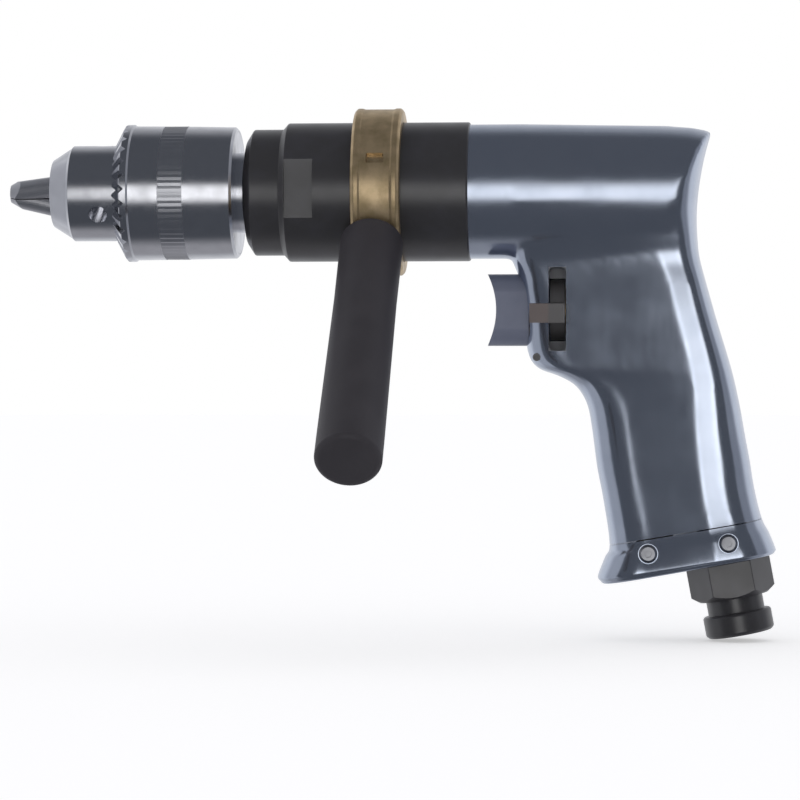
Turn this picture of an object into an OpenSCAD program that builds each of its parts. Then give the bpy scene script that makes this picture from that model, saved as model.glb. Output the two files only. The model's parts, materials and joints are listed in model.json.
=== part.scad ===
// Air drill with a pistol grip, a keyed three-jaw chuck and a side handle.
// Millimetres. X runs from the chuck's nose to the rear and Z is up.
// The origin lies on the spindle axis, in the plane of the nose's front face.

/* [Chuck] */
// Diameter of the largest shank that the jaws take
chuck_cap = 13; // [11:0.5:13]
// Length of the nose in front of the sleeve
nose_len = 21.5; // [21:0.5:24]
// Radius of the nose
nose_r = 15.8; // [15.4:0.1:16.4]
// Radius of the sleeve's front rim
sleeve_r = 22.7; // [22.4:0.1:24]
// Length of the sleeve with its teeth
sleeve_len = 40; // [40:0.5:44]
// Number of bevel teeth on the sleeve
sleeve_teeth = 30; // [26:1:34]
// Number of ridges in the knurled band
knurl_count = 72; // [60:1:80]
// How far the jaws stand out of the nose
jaw_out = 14.7; // [12:0.1:16]
// Angle between a jaw and the spindle axis
jaw_angle = 13; // [13:0.5:14]

/* [Gear case] */
// Length of the black case
case_len = 73.5; // [73:0.5:80]
// Radius of the black case
case_r = 22.85; // [22.6:0.05:23.6]
// Depth of each wrench flat
flat_deep = 2.1; // [1.8:0.1:3]
// Wall of the black case around the gears
case_wall = 3.25; // [3:0.05:3.6]

/* [Motor] */
// Step down from the black case to the aluminium barrel
barrel_step = 0.75; // [0.3:0.05:0.8]
// Length of the cylinder liner
liner_len = 47.6; // [44:0.2:49]
// Off-centre distance of the liner's bore
liner_shift = 1.5; // [1.2:0.1:1.6]
// Number of vanes
vane_count = 5; // [4:1:6]

/* [Side handle] */
// Width of the clamp ring along the case
clamp_w = 15.8; // [12:0.2:18]
// Radial thickness of the clamp ring
clamp_wall = 4.7; // [4:0.1:6]
// Position of the clamp ring's middle, from the case's front
clamp_at = 43.7; // [36:0.1:50]
// How far the handle's axis drops below the level
handle_drop = 39; // [0:1:80]
// Length of the handle
handle_len = 110.5; // [90:0.5:130]
// Radius of the handle
handle_r = 10.2; // [9.4:0.1:13]

/* [Grip] */
// Height of the trigger's axis
trigger_z = -39; // [-39.4:0.1:-38.6]
// Travel of the trigger
trigger_travel = 5; // [3:0.5:5]
// Width of the trigger
trigger_w = 13; // [10:0.5:14]
// Height of the trigger
trigger_h = 23.6; // [20:0.2:24]
// Radius of the reverse lever's disc
lever_r = 10; // [9.4:0.1:10.4]

/* [Inlet] */
// Hexagon of the inlet across its corners
hex_d = 27.7; // [25:0.1:29]
// Length of the hexagon
hex_len = 11.8; // [10:0.2:13]
// Radius of the threaded bore
inlet_bore_r = 5.55; // [5.4:0.05:5.8]
// Depth of the threaded bore
inlet_bore_len = 14; // [12:0.5:16]

/* [Hidden] */
$fn = 64;
// clearance between pieces that turn or slide on each other
run_gap = 0.08;
// clearance between pieces that must not touch
free_gap = 0.3;
// overshoot of a cutter through a face
over = 1;

// chuck, along X
tooth_len = 3.2;
sleeve_x = nose_len;
sleeve_end = sleeve_x + sleeve_len;
hub_len = 2.7;
hub_end = sleeve_end + hub_len;
hub_r = 13.2;
nose_tip_r = 11.2;
nose_cone = 6;
shank_r = chuck_cap / 2 + 0.2;
sleeve_fall = 1;
sleeve_wall = 1.4;
sleeve_in = sleeve_r - sleeve_fall - sleeve_wall;
core_r = sleeve_in - run_gap;
band_x = sleeve_x + 16;
band_len = 7.8;
band_r = sleeve_r - 0.6;
band_deep = 0.5;
nut_x = sleeve_x + tooth_len - 0.4;
nut_len = 6.6;
nut_end = nut_x + nut_len;
groove_r = 12;
key_x = nose_len - 4.9;
key_r = 3;

// jaws, whose outer edge crosses the nose's plane at jaw_line
jaw_r = 3.4;
jaw_line = 7.6;
jaw_axis = jaw_line - jaw_r / cos(jaw_angle);
jaw_gap = 0.2;
jaw_rise = shank_r + 0.25 - jaw_gap;
jaw_back = jaw_rise / tan(jaw_angle);
jaw_tail = nut_end + 0.1;
jaw_trim = core_r - 0.1 - jaw_rise;
jaw_tip_r = 2.9;
channel_end = jaw_tail + jaw_back + 0.4;
thread_pitch = 2;

// spindle and chuck screw
web_x = hub_end - 25.7;
web_len = 3.5;
thread_r = 6.3;
screw_r = 2.9;
screw_head_r = 5.6;
screw_head_len = 3.2;
screw_len = 18;

// gear case, along X
case_gap = 0.7;
case_x = hub_end + case_gap;
barrel_x = case_x + case_len;
case_front_r = case_r - 5.65;
case_nose_r = case_r - 2.05;
case_step = 12.8;
step_half = 0.9;
flat_len = 9.4;
flat_half = case_r - flat_deep;
bore_r = case_r - case_wall;
spigot_r = bore_r + 1.3;
spigot_len = 7.8;
seal_x = case_x + 1.6;
seal_len = 3.2;
seal_r = 12.5;
bearing_x = seal_x + seal_len;
bearing_len = 11;
bearing_r = bore_r - 2.1;
land_r = bearing_r - 10;
bearing_end = bearing_x + bearing_len;

// gears: two planetary stages in one ring gear, whose module fills the case's bore
gear_mod = bore_r / 24.5;
sun_n = 12;
planet_n = 15;
ring_n = 42;
press_angle = 25;
backlash = 0.15;
tip_h = 0.9 * gear_mod;
root_h = 1.25 * gear_mod;
orbit_r = (sun_n + planet_n) * gear_mod / 2;
pin_r = 2.75 * gear_mod;
planet_bore = pin_r + run_gap;
carrier_r = 19 * gear_mod;
plate_bore = 7.75 * gear_mod;
flange_x = bearing_end + 0.4;
flange_len = 5.2;
two_x = flange_x + flange_len + 0.5;
two_len = 10.2;
plate_two_x = two_x + two_len + 0.4;
plate_len = 2.2;
carrier_x = plate_two_x + plate_len + 1.2;
carrier_len = 4.2;
one_x = carrier_x + carrier_len + 0.5;
one_len = 9.2;
plate_one_x = one_x + one_len + 0.4;
plate_one_end = plate_one_x + plate_len;
ring_x = two_x - 0.2;
ring_end = plate_one_end + 0.4;

// air motor, along X
barrel_r = case_r - barrel_step;
front_plate_x = ring_end + 0.2;
rotor_bearing_r = 9.5;
rotor_bearing_len = 6;
rotor_shaft_r = 4;
front_bearing_x = front_plate_x + 1.2;
front_bearing_end = front_bearing_x + rotor_bearing_len;
liner_x = front_bearing_end + 1.6;
liner_end = liner_x + liner_len;
liner_r = barrel_r - 2.65;
liner_bore = liner_r - 3.15;
rotor_r = liner_bore - liner_shift - 0.2;
rotor_x = liner_x + 0.5;
rotor_end = liner_end - 0.5;
rear_bearing_x = liner_end + 2.2;
rear_bearing_end = rear_bearing_x + rotor_bearing_len;
rear_plate_end = rear_bearing_end + 1;
gasket_len = 1;
motor_end = rear_plate_end + gasket_len;
pinion_bore = 2.5;
vane_t = 2;
vane_root = 6.4;
plate_hole = 6.5;

// side handle, along its own axis from the spindle axis
clamp_in = case_r + 0.05;
clamp_out = case_r + clamp_wall;
clamp_x = case_x + clamp_at - clamp_w / 2;
pad_r = 7.4;
pad_top = clamp_out + 0.2;
handle_at = pad_top + free_gap;
stud_r = 4;
// offset of the handle's axis from the clamp ring's middle
handle_off = -1.1;
stud_len = 45;

// housing, whose sections are [front x, front z, back x, back z, half width at the crest,
// front cap depth, back cap depth, front width as a share], with x from the barrel's front
section_power = 2.3;
// the barrel's top falls by this angle behind this place
barrel_draft = 1.1;
draft_x = 17;
draft_step = 0.1;
crest_flat = 6;
grip_sections = [
    [11, barrel_r + 0.9, 79.8, barrel_r + 0.9, barrel_r + 0.5, 4, 7.5, 1],
    [11, 12, 76.6, 12, barrel_r + 0.5, 4, 7.5, 1],
    [11, 5, 75.4, 5, barrel_r + 0.4, 4, 7.5, 1],
    [11, 0, 74.7, 0, barrel_r + 0.15, 4, 7.5, 1],
    [11.2, -6, 74.2, -5.5, barrel_r - 0.7, 4.5, 7.5, 1],
    [11.6, -12, 74.1, -11, barrel_r - 3.35, 5, 7.5, 0.94],
    [12.6, -17.5, 74.4, -16.5, 17.2, 6.5, 6.8, 0.8],
    [13.9, -23.2, 75, -22, 15.9, 8, 6.4, 0.71],
    [16.2, -29.5, 77.1, -30, 16.4, 10, 6, 0.67],
    [17.6, -41, 80.3, -41.5, 17.2, 11.5, 6.2, 0.675],
    [18.8, -52.8, 83.8, -53, 17, 12, 6.7, 0.665],
    [22.1, -58, 85.4, -58.5, 16.8, 12.5, 7.2, 0.68],
    [29, -60.7, 86.4, -62.5, 16.5, 13, 7.7, 0.705],
    [34.6, -64, 87.3, -66.5, 16.3, 13, 8.2, 0.73],
    [38.2, -69.8, 88.5, -72.5, 16.1, 13, 9.1, 0.75],
    [39.8, -77.7, 89.9, -80.5, 16, 13, 10, 0.765],
    [41.5, -90.5, 91.4, -88.5, 16, 13, 10.5, 0.775],
    [43.5, -101, 92.8, -97.2, 16.1, 13, 11, 0.78],
    [45.6, -115.8, 95.2, -107, 16.6, 13.5, 11.2, 0.8],
];
cap_sections = [
    [45.6, -115.8, 95.2, -107, 16.6, 13.5, 11.2, 0.8],
    [44, -120.3, 97.6, -111.8, 17.4, 14, 12.5, 0.82],
    [41.8, -126.2, 99.9, -117, 18, 15, 13, 0.84],
    [43.2, -129, 99.5, -118.6, 17.2, 15, 13, 0.84],
];

// trigger, reverse lever and throttle, along X
trigger_x = barrel_x + 5.6;
trigger_end = barrel_x + 19.3;
trigger_scoop = 25;
pocket_end = trigger_end + trigger_travel + 0.4;
slot_x = barrel_x + 25.9;
slot_len = 5.6;
slot_h = 27.2;
lever_x = slot_x + 0.4;
lever_len = slot_len - 0.8;
lever_end = lever_x + lever_len;
lever_rest = 5;
tab_h = 6.2;
tab_in = 15;
tab_out = 17.4;
tab_front = barrel_x + 19.8;
valve_bore = 8;
sleeve_valve_end = lever_end + 14;
seat_x = sleeve_valve_end + 0.7;
seat_len = 5.8;
seat_bore = 4.2;
stem_r = 2.4;
poppet_x = seat_x + seat_len + free_gap;
poppet_len = 3;
poppet_r = 6.2;
spring_x = poppet_x + poppet_len;
spring_len = 10;
spring_r = 4.6;
wire_r = 0.45;
valve_end = spring_x + spring_len;
lock_pin_x = barrel_x + 21.9;
lock_pin_z = trigger_z - 15.6;
lock_pin_r = 1.3;
lock_pin_len = 16.6;

// foot of the grip: a frame on the inlet's axis, in the plane of the cap's underside
foot_section = cap_sections[len(cap_sections) - 1];
foot_tilt = atan2(foot_section[3] - foot_section[1], foot_section[2] - foot_section[0]);
foot_x = barrel_x + 84.1;
foot_z = foot_section[1] + (foot_x - barrel_x - foot_section[0]) * tan(foot_tilt);
cap_h = 12;
inlet_spigot_r = 8.2;
inlet_spigot_len = 15;
neck_r = 9.25;
neck_len = 4.9;
collar_r = 11.2;
collar_len = 7.3;
inlet_len = hex_len + neck_len + collar_len;
passage_r = 6;
screen_len = 1;
tongue_x0 = -33;
tongue_x1 = -11;
tongue_y = 7.5;
tongue_drop = 8.5;
muffler_x = -22;
muffler_r = 6.1;
muffler_len = 36;
cap_screw_r = 3;
cap_screws = [[-25, 7.7, 14.2], [1, 6.5, 17]];

// Places children on the spindle axis, with their Z along X
module on_axis(x) {
    translate([x, 0, 0])
        rotate([0, 90, 0])
            children();
}

// Cylinder on the spindle axis between two places
module rod(x0, x1, r) {
    on_axis(x0)
        cylinder(h = x1 - x0, r = r);
}

// Tube on the spindle axis between two places
module tube(x0, x1, r_out, r_in) {
    difference() {
        rod(x0, x1, r_out);
        rod(x0 - over, x1 + over, r_in);
    }
}

// Solid of revolution about the spindle axis, from points [radius, x]
module spun(points) {
    rotate([0, 90, 0])
        rotate_extrude()
            polygon(points);
}

// Copies of the children at equal turns about the spindle axis
module around(count, start = 0) {
    for (i = [0:count - 1])
        rotate([start + i * 360 / count, 0, 0])
            children();
}

// Involute angle in degrees
function involute(a) = tan(a) * 180 / PI - a;

// Half the angle of a tooth at a radius, thickened by slack at the pitch circle
function half_tooth(n, r, slack) =
    let (pitch = n * gear_mod / 2, base = pitch * cos(press_angle))
    90 / n + slack * 90 / (PI * pitch) + involute(press_angle)
    - involute(acos(min(1, base / r)));

function polar(r, a) = [r * cos(a), r * sin(a)];

// Outline of a gear with a tooth at angle 0, between two radii
function gear_outline(n, r0, r1, slack) =
    let (base = n * gear_mod / 2 * cos(press_angle), low = max(r0, base),
        radii = [r0, low + (r1 - low) * 0.15, low + (r1 - low) * 0.55, r1])
    [for (i = [0:n - 1]) each concat(
        [for (k = [0:3]) polar(radii[k], i * 360 / n - half_tooth(n, radii[k], slack))],
        [for (k = [3:-1:0]) polar(radii[k], i * 360 / n + half_tooth(n, radii[k], slack))])];

module gear(n, len) {
    pitch = n * gear_mod / 2;
    linear_extrude(height = len)
        polygon(gear_outline(n, pitch - root_h, pitch + tip_h, -backlash));
}

// Closed skin over rings of points that all have the same count
module skin(rings) {
    n = len(rings[0]);
    m = len(rings);
    points = [for (r = rings) each r];
    sides = [for (i = [0:m - 2], k = [0:n - 1])
        let (a = i * n + k, b = i * n + (k + 1) % n)
        each [[a, b, b + n], [a, b + n, a + n]]];
    first = [[for (k = [n - 1:-1:0]) k]];
    last = [[for (k = [0:n - 1]) (m - 1) * n + k]];
    polyhedron(points = points, faces = concat(sides, first, last));
}

function signed_pow(v, e) = sign(v) * pow(abs(v), e);

// Points of one section of the grip
function section_ring(s, half) =
    let (run = norm([s[2] - s[0], s[3] - s[1]]), ux = (s[2] - s[0]) / run,
        uz = (s[3] - s[1]) / run, e = 2 / section_power, crest = run - s[6],
        front = [for (k = [0:half]) let (a = 90 + 180 * k / half)
            [s[5] + s[5] * signed_pow(cos(a), e), s[4] * s[7] * signed_pow(sin(a), e)]],
        back = [for (k = [0:half]) let (a = 270 + 180 * k / half)
            [crest + s[6] * signed_pow(cos(a), e), s[4] * signed_pow(sin(a), e)]],
        outline = concat(front, [[crest - crest_flat, -s[4]]], back, [[crest - crest_flat, s[4]]]))
    [for (p = outline) [barrel_x + s[0] + ux * p[0], p[1], s[1] + uz * p[0]]];

// Smooth blend between the middle two of four sections
function blend(a, b, c, d, t) =
    0.5 * (2 * b + (c - a) * t + (2 * a - 5 * b + 4 * c - d) * t * t
    + (3 * b - a - 3 * c + d) * t * t * t);

// Sections with smooth steps put in between
function smooth_sections(list, steps) =
    let (last = len(list) - 1)
    concat([for (i = [0:last - 1], j = [0:steps - 1])
        blend(list[max(0, i - 1)], list[i], list[i + 1], list[min(last, i + 2)], j / steps)],
        [list[last]]);

module loft(list, steps) {
    skin([for (s = smooth_sections(list, steps)) section_ring(s, 16)]);
}

// Places children on the inlet's axis, with the cap's underside at Z = 0
module on_foot() {
    translate([foot_x, 0, foot_z])
        rotate([0, -foot_tilt, 0])
            children();
}

// Places children on the side handle's axis, with their Z away from the spindle
module on_handle() {
    translate([case_x + clamp_at + handle_off, 0, 0])
        rotate([90 + handle_drop, 0, 0])
            children();
}

// Places children on the trigger's axis, with their Z along X
module on_trigger(x) {
    translate([0, 0, trigger_z])
        on_axis(x)
            children();
}

// Rounded block seen along X, for the trigger and its pocket
module stadium(x0, x1, w, h) {
    translate([x0, 0, trigger_z])
        rotate([90, 0, 90])
            linear_extrude(height = x1 - x0) {
                square([w, h - w], center = true);
                translate([0, (h - w) / 2])
                    circle(d = w);
                translate([0, (w - h) / 2])
                    circle(d = w);
            }
}

// Leaning rod of one jaw, or of its channel
module jaw_rod(r, z0, z1) {
    translate([jaw_axis, 0, 0])
        rotate([0, jaw_angle, 0])
            translate([0, 0, z0 / cos(jaw_angle)])
                cylinder(h = (z1 - z0) / cos(jaw_angle), r = r);
}

module chuck_body() {
    color("silver")
        difference() {
            spun([[0, 0], [nose_tip_r, 0], [nose_r - 0.8, nose_cone], [nose_r, nose_cone + 0.8],
                [nose_r, nut_x - free_gap], [groove_r, nut_x - free_gap],
                [groove_r, nut_end + free_gap], [core_r, nut_end + free_gap],
                [core_r, sleeve_end], [hub_r, sleeve_end], [hub_r, hub_end], [0, hub_end]]);
            rod(-over, web_x - screw_head_len, shank_r);
            rod(web_x - screw_head_len - over, web_x, screw_head_r + 0.1);
            rod(web_x - over, hub_end, screw_r + 0.2);
            rod(web_x + web_len, hub_end + over, thread_r);
            around(3)
                on_axis(0)
                    jaw_rod(jaw_r + 0.1, -6, channel_end);
            around(3, 60)
                translate([key_x, 0, 0])
                    mirror([0, 0, 1])
                        translate([0, 0, nose_r - 6.5])
                            cylinder(h = 10, r = key_r);
        }
}

module chuck_screw() {
    color("dimgray")
        difference() {
            union() {
                rod(web_x - screw_head_len, web_x, screw_head_r);
                rod(web_x - over, web_x + screw_len, screw_r);
            }
            on_axis(web_x - screw_head_len - over)
                cylinder(h = over + 2, r = 2.9, $fn = 6);
        }
}

module jaw() {
    difference() {
        intersection() {
            on_axis(0)
                jaw_rod(jaw_r, -jaw_out - 6, jaw_tail);
            spun([[0, -jaw_out], [jaw_tip_r, -jaw_out], [jaw_trim, -jaw_out + 18],
                [jaw_trim, jaw_tail + 2], [0, jaw_tail + 2]]);
            on_axis(-jaw_out - over)
                linear_extrude(height = jaw_out + jaw_tail + 2 + 2 * over)
                    polygon([[jaw_gap, 0], [jaw_gap + 20, 20 * tan(60)], [jaw_gap + 50, 0],
                        [jaw_gap + 20, -20 * tan(60)]]);
        }
        for (x = [nut_x - 6 * thread_pitch:thread_pitch:nut_x])
            spun([[jaw_line + x * tan(jaw_angle) - 0.7, x],
                [jaw_line + x * tan(jaw_angle) + 1.2, x - 0.9],
                [jaw_line + x * tan(jaw_angle) + 1.2, x + 0.9]]);
    }
}

module jaw_1() {
    color("gray")
        jaw();
}

module jaw_2() {
    color("gray")
        rotate([120, 0, 0])
            jaw();
}

module jaw_3() {
    color("gray")
        rotate([240, 0, 0])
            jaw();
}

module chuck_sleeve() {
    rim_x = sleeve_x + tooth_len;
    slant = atan2(sleeve_r - nose_r - 0.8, tooth_len);
    color("lightgray")
        difference() {
            union() {
                spun([[nose_r - 0.5, sleeve_x], [nose_r + 0.8, sleeve_x], [sleeve_r - 0.2, rim_x],
                    [sleeve_r, rim_x + 0.3], [sleeve_r, rim_x + 2.4], [sleeve_r - 0.5, rim_x + 3],
                    [band_r, band_x], [band_r - band_deep, band_x],
                    [band_r - band_deep, band_x + band_len], [band_r - 0.1, band_x + band_len],
                    [sleeve_r - sleeve_fall, sleeve_end - 0.8],
                    [sleeve_r - sleeve_fall - 0.8, sleeve_end], [nose_r - 0.5, sleeve_end]]);
                on_axis(band_x)
                    linear_extrude(height = band_len)
                        polygon([for (i = [0:2 * knurl_count - 1])
                            polar(band_r - 0.05 - (i % 2) * 0.4, i * 180 / knurl_count)]);
            }
            rod(sleeve_x - over, sleeve_end + over, nose_r + run_gap);
            rod(nut_x, sleeve_end + over, sleeve_in);
            for (i = [0:sleeve_teeth - 1])
                on_axis(sleeve_x + tooth_len / 2)
                    rotate([0, 0, (i + 0.5) * 360 / sleeve_teeth])
                        translate([(sleeve_r + nose_r + 0.6) / 2, 0, 0])
                            rotate([0, slant, 0])
                                cylinder(h = 14, r = 1.5, center = true, $fn = 4);
        }
}

module chuck_nut() {
    edge = jaw_line + 0.2;
    color("goldenrod")
        difference() {
            rod(nut_x, nut_end, sleeve_in - 0.02);
            spun([[0, nut_x - over], [edge + (nut_x - over) * tan(jaw_angle), nut_x - over],
                [edge + (nut_end + over) * tan(jaw_angle), nut_end + over], [0, nut_end + over]]);
        }
}

module spindle() {
    start = web_x + web_len + 0.2;
    color("slategray")
        difference() {
            union() {
                rod(start, hub_end, thread_r);
                rod(hub_end, flange_x, land_r);
                rod(flange_x - 0.2, flange_x + flange_len, carrier_r);
            }
            rod(start - over, web_x + screw_len + 2, screw_r);
            on_axis(flange_x - over)
                planet_places()
                    cylinder(h = flange_len + 2 * over, r = pin_r);
        }
}

// Copies of the children on the three planet centres
module planet_places() {
    for (a = [0:120:240])
        rotate([0, 0, a])
            translate([orbit_r, 0, 0])
                children();
}

// One planet gear, turned so that it meshes at rest
module planet(a, len) {
    rotate([0, 0, a])
        translate([orbit_r, 0, 0])
            rotate([0, 0, 180 + 180 / planet_n])
                difference() {
                    gear(planet_n, len);
                    translate([0, 0, -over])
                        cylinder(h = len + 2 * over, r = planet_bore);
                }
}

module planet_pins(x0, x1) {
    color("gainsboro")
        on_axis(x0)
            planet_places()
                cylinder(h = x1 - x0, r = pin_r);
}

module carrier_plate(x) {
    color("slategray")
        difference() {
            tube(x, x + plate_len, carrier_r, plate_bore);
            on_axis(x - over)
                planet_places()
                    cylinder(h = plate_len + 2 * over, r = pin_r);
        }
}

module second_planet_pins() {
    planet_pins(flange_x, plate_two_x + plate_len);
}

module second_carrier_plate() {
    carrier_plate(plate_two_x);
}

module second_planet_1() {
    color("tan")
        on_axis(two_x)
            planet(0, two_len);
}

module second_planet_2() {
    color("tan")
        on_axis(two_x)
            planet(120, two_len);
}

module second_planet_3() {
    color("tan")
        on_axis(two_x)
            planet(240, two_len);
}

module ring_gear() {
    pitch = ring_n * gear_mod / 2;
    color("steelblue")
        difference() {
            rod(ring_x, ring_end, bore_r - 0.02);
            on_axis(ring_x - over)
                linear_extrude(height = ring_end - ring_x + 2 * over)
                    polygon(gear_outline(ring_n, pitch - tip_h, pitch + root_h, backlash));
        }
}

module first_carrier() {
    color("slategray")
        difference() {
            union() {
                on_axis(two_x + 0.3)
                    gear(sun_n, two_len);
                rod(two_x + 0.4, carrier_x + 0.2, sun_n * gear_mod / 2 - root_h - 0.1);
                rod(carrier_x, carrier_x + carrier_len, carrier_r);
            }
            on_axis(carrier_x - over)
                planet_places()
                    cylinder(h = carrier_len + 2 * over, r = pin_r);
        }
}

module first_planet_pins() {
    planet_pins(carrier_x, plate_one_end);
}

module first_carrier_plate() {
    carrier_plate(plate_one_x);
}

module first_planet_1() {
    color("tan")
        on_axis(one_x)
            planet(0, one_len);
}

module first_planet_2() {
    color("tan")
        on_axis(one_x)
            planet(120, one_len);
}

module first_planet_3() {
    color("tan")
        on_axis(one_x)
            planet(240, one_len);
}

module rotor_pinion() {
    color("gray")
        difference() {
            union() {
                on_axis(one_x + 0.2)
                    gear(sun_n, plate_one_end - one_x);
                rod(plate_one_end, front_bearing_x, sun_n * gear_mod / 2);
            }
            rod(one_x - over, front_bearing_x + over, pinion_bore);
        }
}

// Ball bearing, as outer race, inner race and caged balls
module race_outer(x, len, r_out, r_in) {
    ball = (r_out - r_in) * 0.28;
    mid = (r_out + r_in) / 2;
    color("silver")
        difference() {
            tube(x, x + len, r_out, mid + ball * 0.7);
            on_axis(x + len / 2)
                rotate_extrude()
                    translate([mid, 0])
                        circle(r = ball + run_gap);
        }
}

module race_inner(x, len, r_out, r_in) {
    ball = (r_out - r_in) * 0.28;
    mid = (r_out + r_in) / 2;
    color("silver")
        difference() {
            tube(x, x + len, mid - ball * 0.7, r_in);
            on_axis(x + len / 2)
                rotate_extrude()
                    translate([mid, 0])
                        circle(r = ball + 0.02);
        }
}

module caged_balls(x, len, r_out, r_in, count) {
    ball = (r_out - r_in) * 0.28;
    mid = (r_out + r_in) / 2;
    color("gainsboro") {
        tube(x + len / 2 - ball * 0.4, x + len / 2 + ball * 0.4, mid + ball * 0.3, mid - ball * 0.3);
        around(count)
            translate([x + len / 2, 0, mid])
                sphere(r = ball);
    }
}

module spindle_bearing_outer() {
    race_outer(bearing_x, bearing_len, bearing_r, land_r);
}

module spindle_bearing_inner() {
    race_inner(bearing_x, bearing_len, bearing_r, land_r);
}

module spindle_bearing_balls() {
    caged_balls(bearing_x, bearing_len, bearing_r, land_r, 9);
}

module front_bearing_outer() {
    race_outer(front_bearing_x, rotor_bearing_len, rotor_bearing_r, rotor_shaft_r);
}

module front_bearing_inner() {
    race_inner(front_bearing_x, rotor_bearing_len, rotor_bearing_r, rotor_shaft_r);
}

module front_bearing_balls() {
    caged_balls(front_bearing_x, rotor_bearing_len, rotor_bearing_r, rotor_shaft_r, 8);
}

module rear_bearing_outer() {
    race_outer(rear_bearing_x, rotor_bearing_len, rotor_bearing_r, rotor_shaft_r);
}

module rear_bearing_inner() {
    race_inner(rear_bearing_x, rotor_bearing_len, rotor_bearing_r, rotor_shaft_r);
}

module rear_bearing_balls() {
    caged_balls(rear_bearing_x, rotor_bearing_len, rotor_bearing_r, rotor_shaft_r, 8);
}

module spindle_seal() {
    color("black")
        difference() {
            tube(seal_x, bearing_x, seal_r, land_r + run_gap);
            tube(seal_x + 1, bearing_x + over, seal_r - 1.2, land_r + 1.2);
        }
}

module gear_case() {
    back = barrel_x + spigot_len;
    color("dimgray")
        difference() {
            spun([[0, case_x], [case_front_r, case_x], [case_nose_r, case_x + 2.3],
                [case_nose_r, case_x + case_step - step_half], [case_r, case_x + case_step + step_half],
                [case_r, barrel_x - 0.4], [case_r - 0.4, barrel_x], [spigot_r, barrel_x],
                [spigot_r, back - 0.6], [spigot_r - 0.6, back], [0, back]]);
            spun([[0, case_x - over], [land_r + 2, case_x - over], [land_r + 2, seal_x],
                [seal_r, seal_x], [seal_r, bearing_x], [bearing_r, bearing_x],
                [bearing_r, bearing_end], [bore_r, ring_x], [bore_r, back + over],
                [0, back + over]]);
            for (side = [-1, 1])
                translate([case_x + case_step + step_half, side * (flat_half + 5) - 5, -20])
                    cube([flat_len, 10, 40]);
        }
}

module cylinder_liner() {
    color("lightsteelblue")
        difference() {
            rod(liner_x, liner_end, liner_r);
            translate([0, 0, -liner_shift])
                rod(liner_x - over, liner_end + over, liner_bore);
            for (i = [0:5])
                translate([liner_x + 6 + i * (liner_len - 12) / 5, 0, 0])
                    rotate([125, 0, 0])
                        cylinder(h = 30, r = 1.6);
        }
}

module front_end_plate() {
    color("darkgray")
        difference() {
            rod(front_plate_x, liner_x, bore_r - 0.02);
            rod(front_plate_x - over, front_bearing_end, rotor_bearing_r);
            rod(front_plate_x, liner_x + over, plate_hole);
        }
}

module rear_end_plate() {
    color("darkgray")
        difference() {
            rod(liner_end, rear_plate_end, liner_r);
            rod(rear_bearing_x, rear_plate_end + over, rotor_bearing_r);
            rod(liner_end - over, rear_plate_end, plate_hole);
        }
}

module motor_gasket() {
    color("darkolivegreen")
        tube(rear_plate_end, motor_end, liner_r, rotor_bearing_r + 1);
}

module rotor() {
    color("silver")
        difference() {
            union() {
                rod(one_x + 0.8, front_bearing_x, pinion_bore);
                rod(front_bearing_x - 0.01, rear_bearing_end, rotor_shaft_r);
                rod(rotor_x, rotor_end, rotor_r);
            }
            around(vane_count)
                translate([rotor_x - over, -vane_t / 2, vane_root - 0.2])
                    cube([rotor_end - rotor_x + 2 * over, vane_t, rotor_r]);
        }
}

module vanes() {
    color("saddlebrown")
        around(vane_count)
            translate([rotor_x, -vane_t / 2 + 0.05, vane_root])
                cube([rotor_end - rotor_x, vane_t - 0.1, rotor_r - vane_root - 0.15]);
}

// Outer form of the casting, before its bores
module housing_form() {
    rod(barrel_x, barrel_x + draft_x + over, barrel_r);
    intersection() {
        loft(grip_sections, 3);
        union() {
            translate([barrel_x + draft_x, 0, 0])
                rotate([0, 90 + barrel_draft, 0])
                    cylinder(h = 90, r = barrel_r - draft_step);
            translate([barrel_x - 10, -40, -140])
                cube([140, 80, 140]);
        }
    }
}

// Air passage from the throttle to the inlet
module air_passage() {
    top = [valve_end - 4, trigger_z];
    low = [foot_x - sin(foot_tilt) * cap_h, foot_z + cos(foot_tilt) * cap_h];
    run = low - top;
    translate([top[0], 0, top[1]])
        rotate([0, atan2(run[0], run[1]), 0])
            cylinder(h = norm(run), r = passage_r);
}

// Tongue of the housing that the base cap fits over
module tongue(slack) {
    translate([tongue_x0 - slack, -tongue_y - slack, cap_h - tongue_drop - slack])
        cube([tongue_x1 - tongue_x0 + 2 * slack, 2 * (tongue_y + slack), tongue_drop + slack + over]);
}

module motor_housing() {
    color("lightslategray")
        difference() {
            union() {
                housing_form();
                on_foot()
                    tongue(0);
            }
            rod(barrel_x - over, barrel_x + spigot_len + 0.1, spigot_r);
            rod(barrel_x, motor_end, liner_r + 0.05);
            stadium(barrel_x, pocket_end, trigger_w + 0.6, trigger_h + 0.6);
            on_trigger(slot_x)
                cylinder(h = slot_len, r = lever_r + free_gap);
            translate([slot_x, -30, trigger_z - slot_h / 2])
                cube([slot_len, 30, slot_h]);
            on_trigger(pocket_end - over)
                cylinder(h = valve_end - pocket_end + over, r = valve_bore);
            air_passage();
            on_foot() {
                translate([0, 0, cap_h - over])
                    cylinder(h = inlet_spigot_len - cap_h + screen_len + over, r = inlet_spigot_r);
                translate([muffler_x, 0, -over])
                    cylinder(h = cap_h + muffler_len + over, r = muffler_r + 0.05);
            }
            on_foot()
                translate([cap_screws[0][0], 0, cap_screws[0][1]])
                    rotate([90, 0, 0])
                        cylinder(h = 40, r = 1.5, center = true);
            translate([lock_pin_x, 0, lock_pin_z])
                rotate([90, 0, 0])
                    cylinder(h = 60, r = lock_pin_r, center = true);
        }
}

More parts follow.
